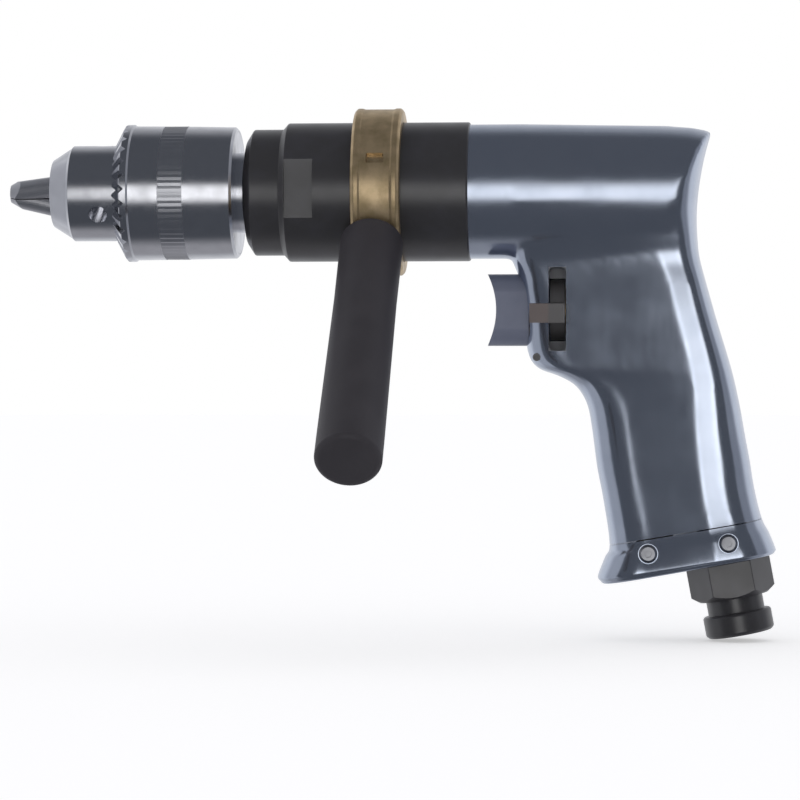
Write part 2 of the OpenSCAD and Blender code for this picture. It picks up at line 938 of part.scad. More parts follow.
module base_cap() {
    color("lightslategray")
        difference() {
            loft(cap_sections, 4);
            on_foot() {
                tongue(0.05);
                translate([0, 0, -over])
                    cylinder(h = cap_h + 2 * over, r = inlet_spigot_r);
                for (i = [-1:1], j = [-1:1])
                    translate([muffler_x + 3.6 * i, 3.6 * j, -4])
                        cylinder(h = cap_h, r = 1.2);
                for (s = cap_screws, side = [-1, 1])
                    translate([s[0], side * (s[2] - 1.6), s[1]])
                        rotate([-90 * side, 0, 0]) {
                            cylinder(h = 12, r = cap_screw_r + 0.25);
                            translate([0, 0, -8])
                                cylinder(h = 9, r = 1.5);
                        }
            }
        }
}

module base_screws() {
    color("dimgray")
        on_foot()
            for (s = cap_screws, side = [-1, 1])
                translate([s[0], side * (s[2] - 1.6), s[1]])
                    rotate([-90 * side, 0, 0])
                        difference() {
                            union() {
                                cylinder(h = 1.2, r = cap_screw_r);
                                translate([0, 0, 1.2])
                                    cylinder(h = 0.6, r1 = cap_screw_r, r2 = cap_screw_r - 0.8);
                                translate([0, 0, -6])
                                    cylinder(h = 6.5, r = 1.45);
                            }
                            translate([0, 0, 0.6])
                                cylinder(h = 3, r = 1.3, $fn = 6);
                        }
}

module inlet_bushing() {
    color("dimgray")
        on_foot()
            difference() {
                union() {
                    cylinder(h = inlet_spigot_len, r = inlet_spigot_r - 0.02);
                    intersection() {
                        translate([0, 0, -hex_len])
                            cylinder(h = hex_len, d = hex_d, $fn = 6);
                        translate([0, 0, -hex_len])
                            cylinder(h = 20, r1 = hex_d / 2 - 2.6, r2 = hex_d / 2 + 11);
                    }
                    translate([0, 0, -hex_len - neck_len - over])
                        cylinder(h = neck_len + 2 * over, r = neck_r);
                    translate([0, 0, -inlet_len])
                        rotate_extrude()
                            polygon([[0, 0], [collar_r - 1, 0], [collar_r, 1],
                                [collar_r, collar_len - 0.6], [collar_r - 0.6, collar_len],
                                [0, collar_len]]);
                }
                translate([0, 0, -inlet_len - over])
                    cylinder(h = inlet_bore_len + over, r = inlet_bore_r);
                translate([0, 0, -inlet_len])
                    cylinder(h = inlet_len + inlet_spigot_len + over, r = inlet_bore_r - 1);
            }
}

module inlet_screen() {
    color("gainsboro")
        on_foot()
            translate([0, 0, inlet_spigot_len])
                difference() {
                    cylinder(h = screen_len - 0.1, r = inlet_spigot_r - 0.1);
                    for (i = [-2:2], j = [-2:2])
                        translate([i * 1.8, j * 1.8, -over])
                            cylinder(h = screen_len + 2 * over, r = 0.65);
                }
}

module muffler() {
    color("burlywood")
        on_foot()
            translate([muffler_x, 0, cap_h - tongue_drop])
                difference() {
                    cylinder(h = muffler_len, r = muffler_r);
                    translate([0, 0, -over])
                        cylinder(h = muffler_len - 4, r = 2.4);
                }
}

module trigger() {
    color("slategray")
        difference() {
            stadium(trigger_x, trigger_end, trigger_w, trigger_h);
            translate([trigger_x + 3 - trigger_scoop, 0, trigger_z])
                rotate([90, 0, 0])
                    cylinder(h = trigger_w + 2 * over, r = trigger_scoop, center = true);
            on_trigger(trigger_end - 8)
                cylinder(h = 8 + over, r = stem_r);
        }
}

module trigger_stem() {
    color("silver")
        on_trigger(trigger_end - 8)
            cylinder(h = spring_x + 2.5 - trigger_end + 8, r = stem_r);
}

module throttle_valve() {
    color("black")
        on_trigger(poppet_x)
            difference() {
                union() {
                    cylinder(h = 1, r1 = poppet_r - 0.6, r2 = poppet_r);
                    translate([0, 0, 1])
                        cylinder(h = poppet_len - 1, r = poppet_r);
                }
                translate([0, 0, -over])
                    cylinder(h = poppet_len + 2 * over, r = stem_r);
            }
}

module valve_seat() {
    color("goldenrod")
        on_trigger(seat_x)
            difference() {
                cylinder(h = seat_len, r = valve_bore - 0.02);
                translate([0, 0, -over])
                    cylinder(h = seat_len + 2 * over, r = seat_bore);
            }
}

module valve_spring() {
    turns = 5;
    steps = turns * 20;
    rise = (spring_len - 2 * wire_r - 0.1) / steps;
    color("gray")
        on_trigger(spring_x + wire_r + 0.05)
            skin([for (i = [0:steps]) let (a = i * 360 / 20)
                [for (k = [0:7]) let (b = k * 45, r = spring_r + wire_r * cos(b))
                    [r * cos(a), r * sin(a), i * rise + wire_r * sin(b)]]]);
}

module lock_pin() {
    color("dimgray")
        translate([lock_pin_x, 0, lock_pin_z])
            rotate([90, 0, 0])
                difference() {
                    cylinder(h = lock_pin_len, r = lock_pin_r - 0.02, center = true);
                    for (side = [-1, 1])
                        translate([0, 0, side * lock_pin_len / 2])
                            cylinder(h = 2, r = lock_pin_r - 0.5, center = true);
                }
}

module reverse_lever() {
    color("saddlebrown")
        difference() {
            union() {
                on_trigger(lever_x)
                    cylinder(h = lever_len, r = lever_r);
                translate([0, 0, trigger_z])
                    rotate([lever_rest, 0, 0]) {
                        translate([lever_x, -tab_out, -tab_h / 2])
                            cube([lever_len, tab_out - lever_r + 2, tab_h]);
                        translate([tab_front, -tab_out, -tab_h / 2])
                            cube([lever_end - tab_front, tab_out - tab_in, tab_h]);
                    }
            }
            on_trigger(lever_x - over)
                cylinder(h = lever_len + 2 * over, r = stem_r + free_gap);
        }
}

module reverse_valve() {
    color("goldenrod")
        difference() {
            on_trigger(lever_end)
                cylinder(h = sleeve_valve_end - lever_end, r = valve_bore - run_gap);
            on_trigger(lever_end - over)
                cylinder(h = sleeve_valve_end - lever_end + 2 * over, r = 5);
            translate([(lever_end + sleeve_valve_end) / 2, 0, trigger_z])
                rotate([lever_rest, 0, 0])
                    for (a = [0, 90])
                        rotate([a, 0, 0])
                            cylinder(h = 30, r = 2.2, center = true);
        }
}

module handle_clamp() {
    back = clamp_x + clamp_w;
    color("peru")
        difference() {
            union() {
                spun([[0, clamp_x], [clamp_out - 0.9, clamp_x], [clamp_out, clamp_x + 0.9],
                    [clamp_out, back - 0.9], [clamp_out - 0.9, back], [0, back]]);
                on_handle()
                    cylinder(h = pad_top, r = pad_r - 0.6);
            }
            rod(clamp_x - over, back + over, clamp_in);
            on_handle()
                cylinder(h = pad_top + over, r = stud_r + run_gap);
            translate([case_x + clamp_at, 0, 0])
                rotate([-18, 0, 0])
                    translate([-2.8, -clamp_out - over, -1.7])
                        cube([5.6, 2.2, 3.4]);
        }
}

module handle_stud() {
    color("silver")
        on_handle()
            translate([0, 0, case_r + 0.3])
                cylinder(h = stud_len, r = stud_r);
}

module side_handle() {
    end = handle_at + handle_len;
    color("black")
        on_handle()
            difference() {
                rotate_extrude()
                    polygon([[0, handle_at], [handle_r - 0.8, handle_at], [handle_r, handle_at + 0.8],
                        [handle_r - 0.3, handle_at + handle_len * 0.3],
                        [handle_r, end - 12], [handle_r, end - 1.6], [handle_r - 1.2, end - 0.5],
                        [handle_r - 2.4, end - 0.4], [0, end]]);
                cylinder(h = case_r + 0.3 + stud_len, r = stud_r);
            }
}

chuck_body();
chuck_screw();
jaw_1();
jaw_2();
jaw_3();
chuck_sleeve();
chuck_nut();
spindle();
second_planet_pins();
second_carrier_plate();
second_planet_1();
second_planet_2();
second_planet_3();
spindle_bearing_outer();
spindle_bearing_inner();
spindle_bearing_balls();
spindle_seal();
gear_case();
ring_gear();
first_carrier();
first_planet_pins();
first_carrier_plate();
first_planet_1();
first_planet_2();
first_planet_3();
rotor_pinion();
rotor();
vanes();
front_bearing_outer();
front_bearing_inner();
front_bearing_balls();
rear_bearing_outer();
rear_bearing_inner();
rear_bearing_balls();
cylinder_liner();
front_end_plate();
rear_end_plate();
motor_gasket();
motor_housing();
base_cap();
base_screws();
inlet_bushing();
inlet_screen();
muffler();
trigger();
trigger_stem();
throttle_valve();
valve_seat();
valve_spring();
lock_pin();
reverse_lever();
reverse_valve();
handle_clamp();
handle_stud();
side_handle();
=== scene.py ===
"""Models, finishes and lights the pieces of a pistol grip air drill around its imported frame."""

import json
import math

import bmesh
import bpy
from bpy.props import FloatProperty, FloatVectorProperty, IntProperty, PointerProperty
from mathutils import Matrix, Vector


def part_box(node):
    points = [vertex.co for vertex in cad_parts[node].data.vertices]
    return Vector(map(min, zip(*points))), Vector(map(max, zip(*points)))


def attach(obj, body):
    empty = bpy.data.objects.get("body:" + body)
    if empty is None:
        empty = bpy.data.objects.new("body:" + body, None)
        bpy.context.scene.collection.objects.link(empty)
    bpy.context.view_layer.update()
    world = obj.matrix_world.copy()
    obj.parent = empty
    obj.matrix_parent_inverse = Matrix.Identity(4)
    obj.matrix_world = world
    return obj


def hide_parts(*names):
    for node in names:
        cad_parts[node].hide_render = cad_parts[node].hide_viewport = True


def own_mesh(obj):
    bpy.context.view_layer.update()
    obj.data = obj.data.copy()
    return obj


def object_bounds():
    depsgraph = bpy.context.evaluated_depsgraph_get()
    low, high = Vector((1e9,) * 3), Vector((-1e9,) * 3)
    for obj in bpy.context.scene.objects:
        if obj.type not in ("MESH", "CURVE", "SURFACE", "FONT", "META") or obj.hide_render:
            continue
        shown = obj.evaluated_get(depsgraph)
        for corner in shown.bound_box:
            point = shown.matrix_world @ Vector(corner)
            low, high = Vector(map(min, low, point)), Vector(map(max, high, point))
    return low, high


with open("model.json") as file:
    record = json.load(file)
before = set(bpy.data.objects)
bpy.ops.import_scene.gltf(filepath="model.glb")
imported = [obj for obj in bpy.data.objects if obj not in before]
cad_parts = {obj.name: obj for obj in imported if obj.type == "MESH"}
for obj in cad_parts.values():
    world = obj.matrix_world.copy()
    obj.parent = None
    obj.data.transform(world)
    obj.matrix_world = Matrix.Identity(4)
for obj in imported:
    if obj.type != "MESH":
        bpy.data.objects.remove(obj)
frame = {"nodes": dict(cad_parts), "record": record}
CAD_BOX = [list(corner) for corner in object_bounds()]

bl_info = {
    "name": "Air Drill",
    "version": (1, 0, 0),
    "blender": (4, 5, 0),
    "location": "View3D > Sidebar > Air Drill",
    "description": "Models and finishes the pieces of a pistol grip air drill",
    "category": "Object",
}

# Sizes, in millimetres, and angles, in degrees, unless a comment says otherwise

MM = 0.001
ALONG_X = Matrix.Rotation(math.radians(90), 4, "Y")
ALONG_Y = Matrix.Rotation(math.radians(90), 4, "X")
AT_ORIGIN = Matrix.Identity(4)
# distance below which points are merged, and the smaller one for the points of a loft's rings
MERGE = 0.002
RING_MERGE = 0.0005

# point on the spindle axis at the front of the aluminium barrel, in metres, and its x
BARREL_FRONT = Vector((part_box("motor_housing")[0].x, 0, 0))
AHEAD = BARREL_FRONT.x / MM
ON_BARREL = Matrix.Translation(BARREL_FRONT) @ ALONG_X

# Sections of the casting from the barrel's top to the foot: front x and z, back x and z, half width
# at the crest, depth of the front and back rounding, front width as a share. x counts from the
# barrel's front, and a half width past the barrel's radius is held to it.
CASTING_SECTIONS = [
    [11.0, 22.09, 78.9, 22.09, 22.6, 4.0, 7.5, 1.0],
    [11.0, 12.0, 76.6, 12.0, 22.6, 4.0, 7.5, 1.0],
    [11.0, 5.0, 75.4, 5.0, 22.5, 4.0, 7.5, 1.0],
    [11.0, 0.0, 74.7, 0.0, 22.25, 4.0, 7.5, 1.0],
    [11.2, -6.0, 74.2, -5.5, 21.4, 4.5, 7.5, 1.0],
    [11.6, -12.0, 74.1, -11.0, 18.75, 5.0, 7.5, 0.94],
    [12.6, -17.5, 74.4, -16.5, 17.2, 6.5, 6.8, 0.8],
    [13.9, -23.2, 75.0, -22.0, 16.0, 8.0, 6.4, 0.7],
    [16.2, -29.5, 77.1, -30.0, 16.3, 10.0, 6.0, 0.665],
    [17.6, -41.0, 80.3, -41.5, 16.7, 11.5, 6.2, 0.68],
    [18.8, -52.8, 83.8, -53.0, 16.8, 12.0, 6.7, 0.665],
    [22.1, -58.0, 85.4, -58.5, 16.8, 12.5, 7.2, 0.68],
    [29.0, -60.7, 86.4, -62.5, 16.5, 13.0, 7.7, 0.705],
    [34.6, -64.0, 87.3, -66.5, 16.3, 13.0, 8.2, 0.73],
    [38.2, -69.8, 88.5, -72.5, 16.1, 13.0, 9.1, 0.75],
    [39.8, -77.7, 89.9, -80.5, 16.0, 13.0, 10.0, 0.765],
    [41.5, -90.5, 91.4, -88.5, 16.0, 13.0, 10.5, 0.775],
    [43.5, -101.0, 92.8, -97.2, 16.1, 13.0, 11.0, 0.78],
    [45.6, -115.8, 95.2, -107.0, 16.6, 13.5, 11.2, 0.8],
    [44.0, -120.3, 97.6, -111.8, 17.4, 14.0, 12.5, 0.82],
    [41.8, -126.2, 99.7, -117.0, 18.0, 15.0, 13.0, 0.84],
    [42.73, -128.07, 99.6, -117.53, 17.5, 15.0, 13.0, 0.84],
    [43.34, -128.67, 99.35, -118.32, 17.0, 15.0, 13.0, 0.84],
    [44.13, -128.83, 98.71, -118.75, 16.2, 14.5, 12.5, 0.84],
]
# ends of the seam above the base cap, from the barrel's front
SEAM_FRONT = Vector((45.6, 0.0, -115.8))
SEAM_BACK = Vector((95.2, 0.0, -107.0))
# rings from one section to the next, and how many spans at the end hold the base cap
SECTION_STEPS = 8
CAP_SPANS = 6
# power of the curve that rounds a section, and the length over which it keeps its full width
SECTION_POWER = 2.3
CREST_FLAT = 6.0
# the front rounding stops this angle short of its half turn, on each side, where a flank begins
FRONT_STOP = 1.3
# the barrel's top falls by this angle, in radians, behind this x, and eases over at its rear corner
DRAFT = math.radians(1.1)
DRAFT_X = 17.0
CORNER_X = 66.0
CORNER_EASE = 0.0105

# height of the axis that the trigger, the reverse lever and the valve share
TRIGGER_Z = -39.0
ON_TRIGGER = Matrix.Translation((0, 0, TRIGGER_Z * MM)) @ ALONG_X
# the reverse lever's slot: x from the barrel's front, half its height, and the room whose walls are dull
# and painted a little darker, as shade in the recess
SLOT_X = (25.9, 31.5)
SLOT_HALF = 13.6
SLOT_SKIN = 0.05
SLOT_SPAN = ((AHEAD + SLOT_X[0] - SLOT_SKIN, AHEAD + SLOT_X[1] + SLOT_SKIN), (-20.0, 0.3),
             (TRIGGER_Z - SLOT_HALF - SLOT_SKIN, TRIGGER_Z + SLOT_HALF + SLOT_SKIN))

# spigot of the gear case in the barrel
SPIGOT_RADIUS = 20.9
SPIGOT_LENGTH = 7.8
# the inlet's x from the barrel's front, its shank's radius, and the muffler's place in front of it
INLET_X = 84.1
SHANK_RADIUS = 8.2
MUFFLER_X = -22.0
# the base cap's screws from the inlet: x, height above the cap's underside, and half the cap's width there
SCREW_PLACES = ((-25.0, 7.7, 14.2), (1.0, 6.5, 17.0))
# how far the side handle, which comes towards the viewer, dips below the level
HANDLE_DIP = 39.0
# the chuck sleeve's knurled band along x
KNURL = (37.3, 45.5)

# Studio: light as linear colours, the floor's own glow, and the camera's place in metres and its turn

DIM_ROOM = (0.072, 0.078, 0.091, 1.0)
LEFT_WALL = (0.42, 0.43, 0.46, 1.0)
RIGHT_WALL = (0.25, 0.26, 0.29, 1.0)
BACK_WALL = (0.76, 0.77, 0.80, 1.0)
PALE_GROUND = (0.34, 0.34, 0.36, 1.0)
LAMP = (1.3, 1.3, 1.3, 1.0)
LAMP_EDGE = (1.85, 1.85, 1.85, 1.0)
SOFT_LIGHT = (0.62, 0.62, 0.64, 1.0)
WHITE = (1.0, 1.0, 1.0, 1.0)
FLOOR_GLOW = 0.44
CAMERA_PLACE = (0.1891, -1.0, -0.0686)
CAMERA_TURN = math.atan2(0.0741, 1.0)
CAMERA_LENS = 136.7


def linear(code):
    """Turns an sRGB hex colour to linear red, green, blue and alpha."""
    parts = [int(code[i:i + 2], 16) / 255 for i in (1, 3, 5)]
    return tuple(p / 12.92 if p <= 0.04045 else ((p + 0.055) / 1.055) ** 2.4 for p in parts) + (1.0,)


def add(tree, kind, inputs=None, **settings):
    """Adds a node, sets its options, and fills its inputs with values or links them to sockets."""
    node = tree.nodes.new(kind)
    for name, value in settings.items():
        setattr(node, name, value)
    for name, value in (inputs or {}).items():
        if isinstance(value, bpy.types.NodeSocket):
            tree.links.new(value, node.inputs[name])
        else:
            node.inputs[name].default_value = value
    return node


# Modelling

def activate(piece):
    """Makes a piece the only one selected, and the active one."""
    bpy.ops.object.select_all(action="DESELECT")
    piece.select_set(True)
    bpy.context.view_layer.objects.active = piece


def start_piece(name):
    """Names the primitive that was just added and opens it in edit mode."""
    piece = bpy.context.object
    piece.name = name
    bpy.ops.object.mode_set(mode="EDIT")
    return piece, bmesh.from_edit_mesh(piece.data)


def set_in_place(piece, place):
    """Moves a piece to its place and puts that place into its mesh."""
    activate(piece)
    piece.matrix_world = place @ piece.matrix_world
    bpy.ops.object.transform_apply(location=True, rotation=True, scale=True)
    return piece


def modify(piece, kind, **settings):
    """Adds a modifier to a piece and applies it."""
    activate(piece)
    modifier = piece.modifiers.new(kind.lower(), kind)
    for name, value in settings.items():
        setattr(modifier, name, value)
    bpy.ops.object.modifier_apply(modifier=modifier.name)


def combine(piece, other, operation="DIFFERENCE"):
    """Cuts, joins or trims a piece with another that is used up."""
    modify(piece, "BOOLEAN", object=other, operation=operation, solver="MANIFOLD")
    bpy.data.objects.remove(other)


def soften(piece, width, angle=30.0, segments=2):
    """Rounds the edges that are sharper than an angle, by a width in metres."""
    modify(piece, "BEVEL", width=width, segments=segments, limit_method="ANGLE",
           angle_limit=math.radians(angle))


def rod(start, end, radius, place, sides=48):
    """Round bar between two heights on an axis, for joining or cutting."""
    bpy.ops.object.select_all(action="DESELECT")
    bpy.ops.mesh.primitive_cylinder_add(vertices=sides, radius=radius * MM, depth=(end - start) * MM,
                                        location=(0, 0, (start + end) / 2 * MM))
    return set_in_place(bpy.context.object, place)


def block(low, high, axis=0, rounding=0.0, segments=10):
    """Block between two corners, with the edges along one axis rounded."""
    low, high = Vector(low) * MM, Vector(high) * MM
    bpy.ops.object.select_all(action="DESELECT")
    bpy.ops.mesh.primitive_cube_add(size=1, location=(low + high) / 2, scale=high - low)
    bpy.ops.object.transform_apply(location=True, rotation=True, scale=True)
    piece, mesh = start_piece("block")
    bpy.ops.mesh.select_all(action="DESELECT")
    for edge in mesh.edges:
        run = (edge.verts[0].co - edge.verts[1].co).normalized()
        edge.select_set(abs(run[axis]) > 0.99)
    bpy.ops.mesh.bevel(offset=rounding * MM, segments=segments, affect="EDGES")
    bpy.ops.mesh.select_all(action="SELECT")
    bpy.ops.mesh.remove_doubles(threshold=MERGE * MM)
    bpy.ops.object.mode_set(mode="OBJECT")
    return piece


def turned(name, outline, place, steps=96):
    """Turns a closed outline of (radius, height) points, as on a lathe, and sets it in place."""
    bpy.ops.object.select_all(action="DESELECT")
    bpy.ops.mesh.primitive_plane_add(size=MM)
    piece, _ = start_piece(name)
    bpy.ops.mesh.merge(type="CENTER")
    points = [Vector((radius, 0, height)) * MM for radius, height in outline]
    bpy.ops.transform.translate(value=points[0])
    for here, there in zip(points, points[1:] + points[:1]):
        bpy.ops.mesh.extrude_vertices_move(TRANSFORM_OT_translate={"value": there - here})
    bpy.ops.mesh.select_all(action="SELECT")
    bpy.ops.mesh.remove_doubles(threshold=MERGE * MM)
    bpy.ops.mesh.spin(steps=steps, angle=2 * math.pi, center=(0, 0, 0), axis=(0, 0, 1))
    bpy.ops.mesh.select_all(action="SELECT")
    bpy.ops.mesh.remove_doubles(threshold=MERGE * MM)
    bpy.ops.mesh.normals_make_consistent(inside=False)
    bpy.ops.mesh.dissolve_degenerate(threshold=MERGE * MM)
    bpy.ops.object.mode_set(mode="OBJECT")
    return set_in_place(piece, place)


def wrapped(name, rings):
    """Lays the rows of a grid round the rings, closes its seam and fills its ends."""
    count = len(rings[0])
    bpy.ops.object.select_all(action="DESELECT")
    bpy.ops.mesh.primitive_grid_add(x_subdivisions=count, y_subdivisions=len(rings) - 1, size=2)
    piece, mesh = start_piece(name)
    grid = sorted(mesh.verts, key=lambda v: (round(v.co.y, 5), v.co.x))
    for i, vert in enumerate(grid):
        row, place = divmod(i, count + 1)
        vert.co = rings[row][place % count]
    bmesh.update_edit_mesh(piece.data)
    bpy.ops.mesh.select_all(action="SELECT")
    bpy.ops.mesh.remove_doubles(threshold=RING_MERGE * MM)
    bpy.ops.mesh.fill_holes(sides=0)
    bpy.ops.mesh.normals_make_consistent(inside=False)
    bpy.ops.object.mode_set(mode="OBJECT")
    return piece


def halved(piece, point, normal):
    """Cuts a piece along a plane and keeps the side that the normal leaves, with a flat face there."""
    activate(piece)
    bpy.ops.object.mode_set(mode="EDIT")
    bpy.ops.mesh.select_all(action="SELECT")
    bpy.ops.mesh.bisect(plane_co=point, plane_no=normal, use_fill=True, clear_outer=True)
    bpy.ops.object.mode_set(mode="OBJECT")


def finish_piece(piece, body, node, slot, angle=32.0):
    """Shades a finished piece, gives it its finish, and lets it ride and stand for its CAD node."""
    activate(piece)
    bpy.ops.object.shade_smooth_by_angle(angle=math.radians(angle))
    modify(piece, "WEIGHTED_NORMAL", keep_sharp=True)
    piece.data.materials.clear()
    piece.data.materials.append(finish_of(slot))
    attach(piece, body)
    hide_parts(node)


def foot_place():
    """Frame on the inlet's axis, in the plane of the cap's underside."""
    x0, z0, x1, z1 = CASTING_SECTIONS[-1][:4]
    tilt = math.atan2(z1 - z0, x1 - x0)
    z = z0 + (INLET_X - x0) * math.tan(tilt)
    origin = BARREL_FRONT + Vector((INLET_X, 0, z)) * MM
    return Matrix.Translation(origin) @ Matrix.Rotation(-tilt, 4, "Y")


def handle_place():
    """Frame on the side handle's axis, with Z away from the spindle."""
    low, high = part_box("side_handle")
    return (Matrix.Translation(((low.x + high.x) / 2, 0, 0))
            @ Matrix.Rotation(math.radians(90 + HANDLE_DIP), 4, "X"))


# Finishes

def new_finish(name):
    """Starts a finish: its material, its node tree and the piece's own coordinates."""
    material = bpy.data.materials.new(name)
    material.use_nodes = True
    tree = material.node_tree
    tree.nodes.clear()
    return material, tree, add(tree, "ShaderNodeTexCoord").outputs["Object"]


def dressed(material, inputs):
    """Ends a finish with its shader."""
    tree = material.node_tree
    shader = add(tree, "ShaderNodeBsdfPrincipled", inputs)
    add(tree, "ShaderNodeOutputMaterial", {"Surface": shader.outputs["BSDF"]})
    return material


def polished_aluminium(colours):
    """Polished cast aluminium: a bright skin with faint waves from hand polishing, and buffing marks."""
    material, tree, place = new_finish("polished_cast_aluminium")
    # the polisher's hand leaves waves about 22 mm long
    waves = add(tree, "ShaderNodeTexNoise", {"Vector": place, "Scale": 1 / (22 * MM), "Detail": 1.0})
    # buffing marks of about 0.05 mm, drawn 1 mm wide to show
    turn = add(tree, "ShaderNodeMapping", {
        "Vector": place, "Rotation": (0, math.radians(14), 0), "Scale": (1, 1, 0.06)})
    marks = add(tree, "ShaderNodeTexNoise", {
        "Vector": turn.outputs[0], "Scale": 1 / (1.0 * MM), "Detail": 0.0})
    # duller patches about 9 mm wide
    patches = add(tree, "ShaderNodeTexNoise", {"Vector": place, "Scale": 1 / (9 * MM), "Detail": 2.0})
    rough = add(tree, "ShaderNodeMapRange", {
        "Value": patches.outputs[0], "From Min": 0.3, "From Max": 0.7, "To Min": 0.12, "To Max": 0.18})
    tint = add(tree, "ShaderNodeMix", {
        0: patches.outputs[0], 6: colours.aluminium, 7: colours.aluminium_shade}, data_type="RGBA")
    # the barrel is finished on a belt and shines less than the grip
    spot = add(tree, "ShaderNodeSeparateXYZ", {0: place})
    belted = add(tree, "ShaderNodeMapRange", {"Value": spot.outputs[2], "From Min": -26 * MM,
                                              "From Max": -14 * MM, "To Min": 0.0, "To Max": 0.05})
    rough = add(tree, "ShaderNodeMath", {0: rough.outputs[0], 1: belted.outputs[0]}, operation="ADD")
    rough = add(tree, "ShaderNodeMath", {0: marks.outputs[0], 1: 0.03, 2: rough.outputs[0]},
                operation="MULTIPLY_ADD")
    # the skin inside the lever's slot is left as cast, and is dull, and its colour there is painted a
    # little darker, as shade in the recess
    inside = None
    for axis, (low, high) in enumerate(SLOT_SPAN):
        near = add(tree, "ShaderNodeMath", {0: spot.outputs[axis], 1: (low + high) / 2 * MM,
                                            2: (high - low) / 2 * MM}, operation="COMPARE").outputs[0]
        if inside:
            near = add(tree, "ShaderNodeMath", {0: inside, 1: near}, operation="MULTIPLY").outputs[0]
        inside = near
    tint = add(tree, "ShaderNodeMix", {0: inside, 6: tint.outputs[2], 7: colours.slot_skin_and_shade},
               data_type="RGBA")
    rough = add(tree, "ShaderNodeMix", {0: inside, 2: rough.outputs[0], 3: 0.7})
    wavy = add(tree, "ShaderNodeBump", {"Height": waves.outputs[0], "Strength": 0.12, "Distance": 1.2 * MM})
    return dressed(material, {"Base Color": tint.outputs[2], "Roughness": rough.outputs[0],
                              "Normal": wavy.outputs[0], "Metallic": 0.95})


def blackened_steel(colours):
    """Turned and blackened steel: dark satin with fine tool lines and rubbed lighter patches."""
    material, tree, place = new_finish("blackened_turned_steel")
    # tool lines 0.15 mm apart, drawn 0.4 mm apart to show
    turn = add(tree, "ShaderNodeMapping", {"Vector": place, "Scale": (1, 0.02, 0.02)})
    lines = add(tree, "ShaderNodeTexNoise", {
        "Vector": turn.outputs[0], "Scale": 1 / (0.4 * MM), "Detail": 2.0})
    # hands and tools rub spots about 7 mm wide
    rubs = add(tree, "ShaderNodeTexNoise", {"Vector": place, "Scale": 1 / (7 * MM), "Detail": 5.0})
    share = add(tree, "ShaderNodeMapRange", {"Value": rubs.outputs[0], "From Min": 0.45, "From Max": 0.8})
    tint = add(tree, "ShaderNodeMix", {
        0: share.outputs[0], 6: colours.black_steel, 7: colours.black_steel_rubbed}, data_type="RGBA")
    rough = add(tree, "ShaderNodeMapRange", {"Value": rubs.outputs[0], "To Min": 0.36, "To Max": 0.26})
    bump = add(tree, "ShaderNodeBump", {
        "Height": lines.outputs[0], "Strength": 0.12, "Distance": 0.05 * MM})
    # the oiled oxide that covers the steel is what shines, and it is no metal
    return dressed(material, {"Base Color": tint.outputs[2], "Roughness": rough.outputs[0],
                              "Normal": bump.outputs[0], "IOR": 1.8})


def cast_brass(colours):
    """Sand cast brass: a grainy, slightly pitted skin, dull in the hollows and bright where rubbed."""
    material, tree, place = new_finish("sand_cast_brass")
    # sand grains of 0.3 mm, drawn 0.6 mm wide to show
    sand = add(tree, "ShaderNodeTexNoise", {"Vector": place, "Scale": 1 / (0.6 * MM), "Detail": 3.0})
    # tarnish in spots about 5 mm wide
    tarnish = add(tree, "ShaderNodeTexNoise", {"Vector": place, "Scale": 1 / (5 * MM), "Detail": 5.0})
    share = add(tree, "ShaderNodeMapRange", {
        "Value": tarnish.outputs[0], "From Min": 0.35, "From Max": 0.7})
    tint = add(tree, "ShaderNodeMix", {0: share.outputs[0], 6: colours.brass, 7: colours.brass_tarnish},
               data_type="RGBA")
    rough = add(tree, "ShaderNodeMapRange", {"Value": tarnish.outputs[0], "To Min": 0.3, "To Max": 0.45})
    bump = add(tree, "ShaderNodeBump", {"Height": sand.outputs[0], "Strength": 0.25, "Distance": 0.12 * MM})
    return dressed(material, {"Base Color": tint.outputs[2], "Roughness": rough.outputs[0],
                              "Normal": bump.outputs[0], "Metallic": 0.8})


def moulded_rubber(colours):
    """Moulded black rubber: a dull fine grain with a few dusty, greyer patches."""
    material, tree, place = new_finish("moulded_black_rubber")
    # mould grain of 0.25 mm, drawn 0.5 mm wide to show
    grain = add(tree, "ShaderNodeTexNoise", {"Vector": place, "Scale": 1 / (0.5 * MM), "Detail": 2.0})
    # dust in patches about 14 mm wide
    dust = add(tree, "ShaderNodeTexNoise", {"Vector": place, "Scale": 1 / (14 * MM), "Detail": 4.0})
    share = add(tree, "ShaderNodeMapRange", {"Value": dust.outputs[0], "From Min": 0.4, "From Max": 0.75})
    tint = add(tree, "ShaderNodeMix", {0: share.outputs[0], 6: colours.rubber, 7: colours.rubber_dust},
               data_type="RGBA")
    rough = add(tree, "ShaderNodeMapRange", {"Value": dust.outputs[0], "To Min": 0.48, "To Max": 0.62})
    bump = add(tree, "ShaderNodeBump", {"Height": grain.outputs[0], "Strength": 0.2, "Distance": 0.1 * MM})
    return dressed(material, {"Base Color": tint.outputs[2], "Roughness": rough.outputs[0],
                              "Normal": bump.outputs[0], "IOR": 1.52})


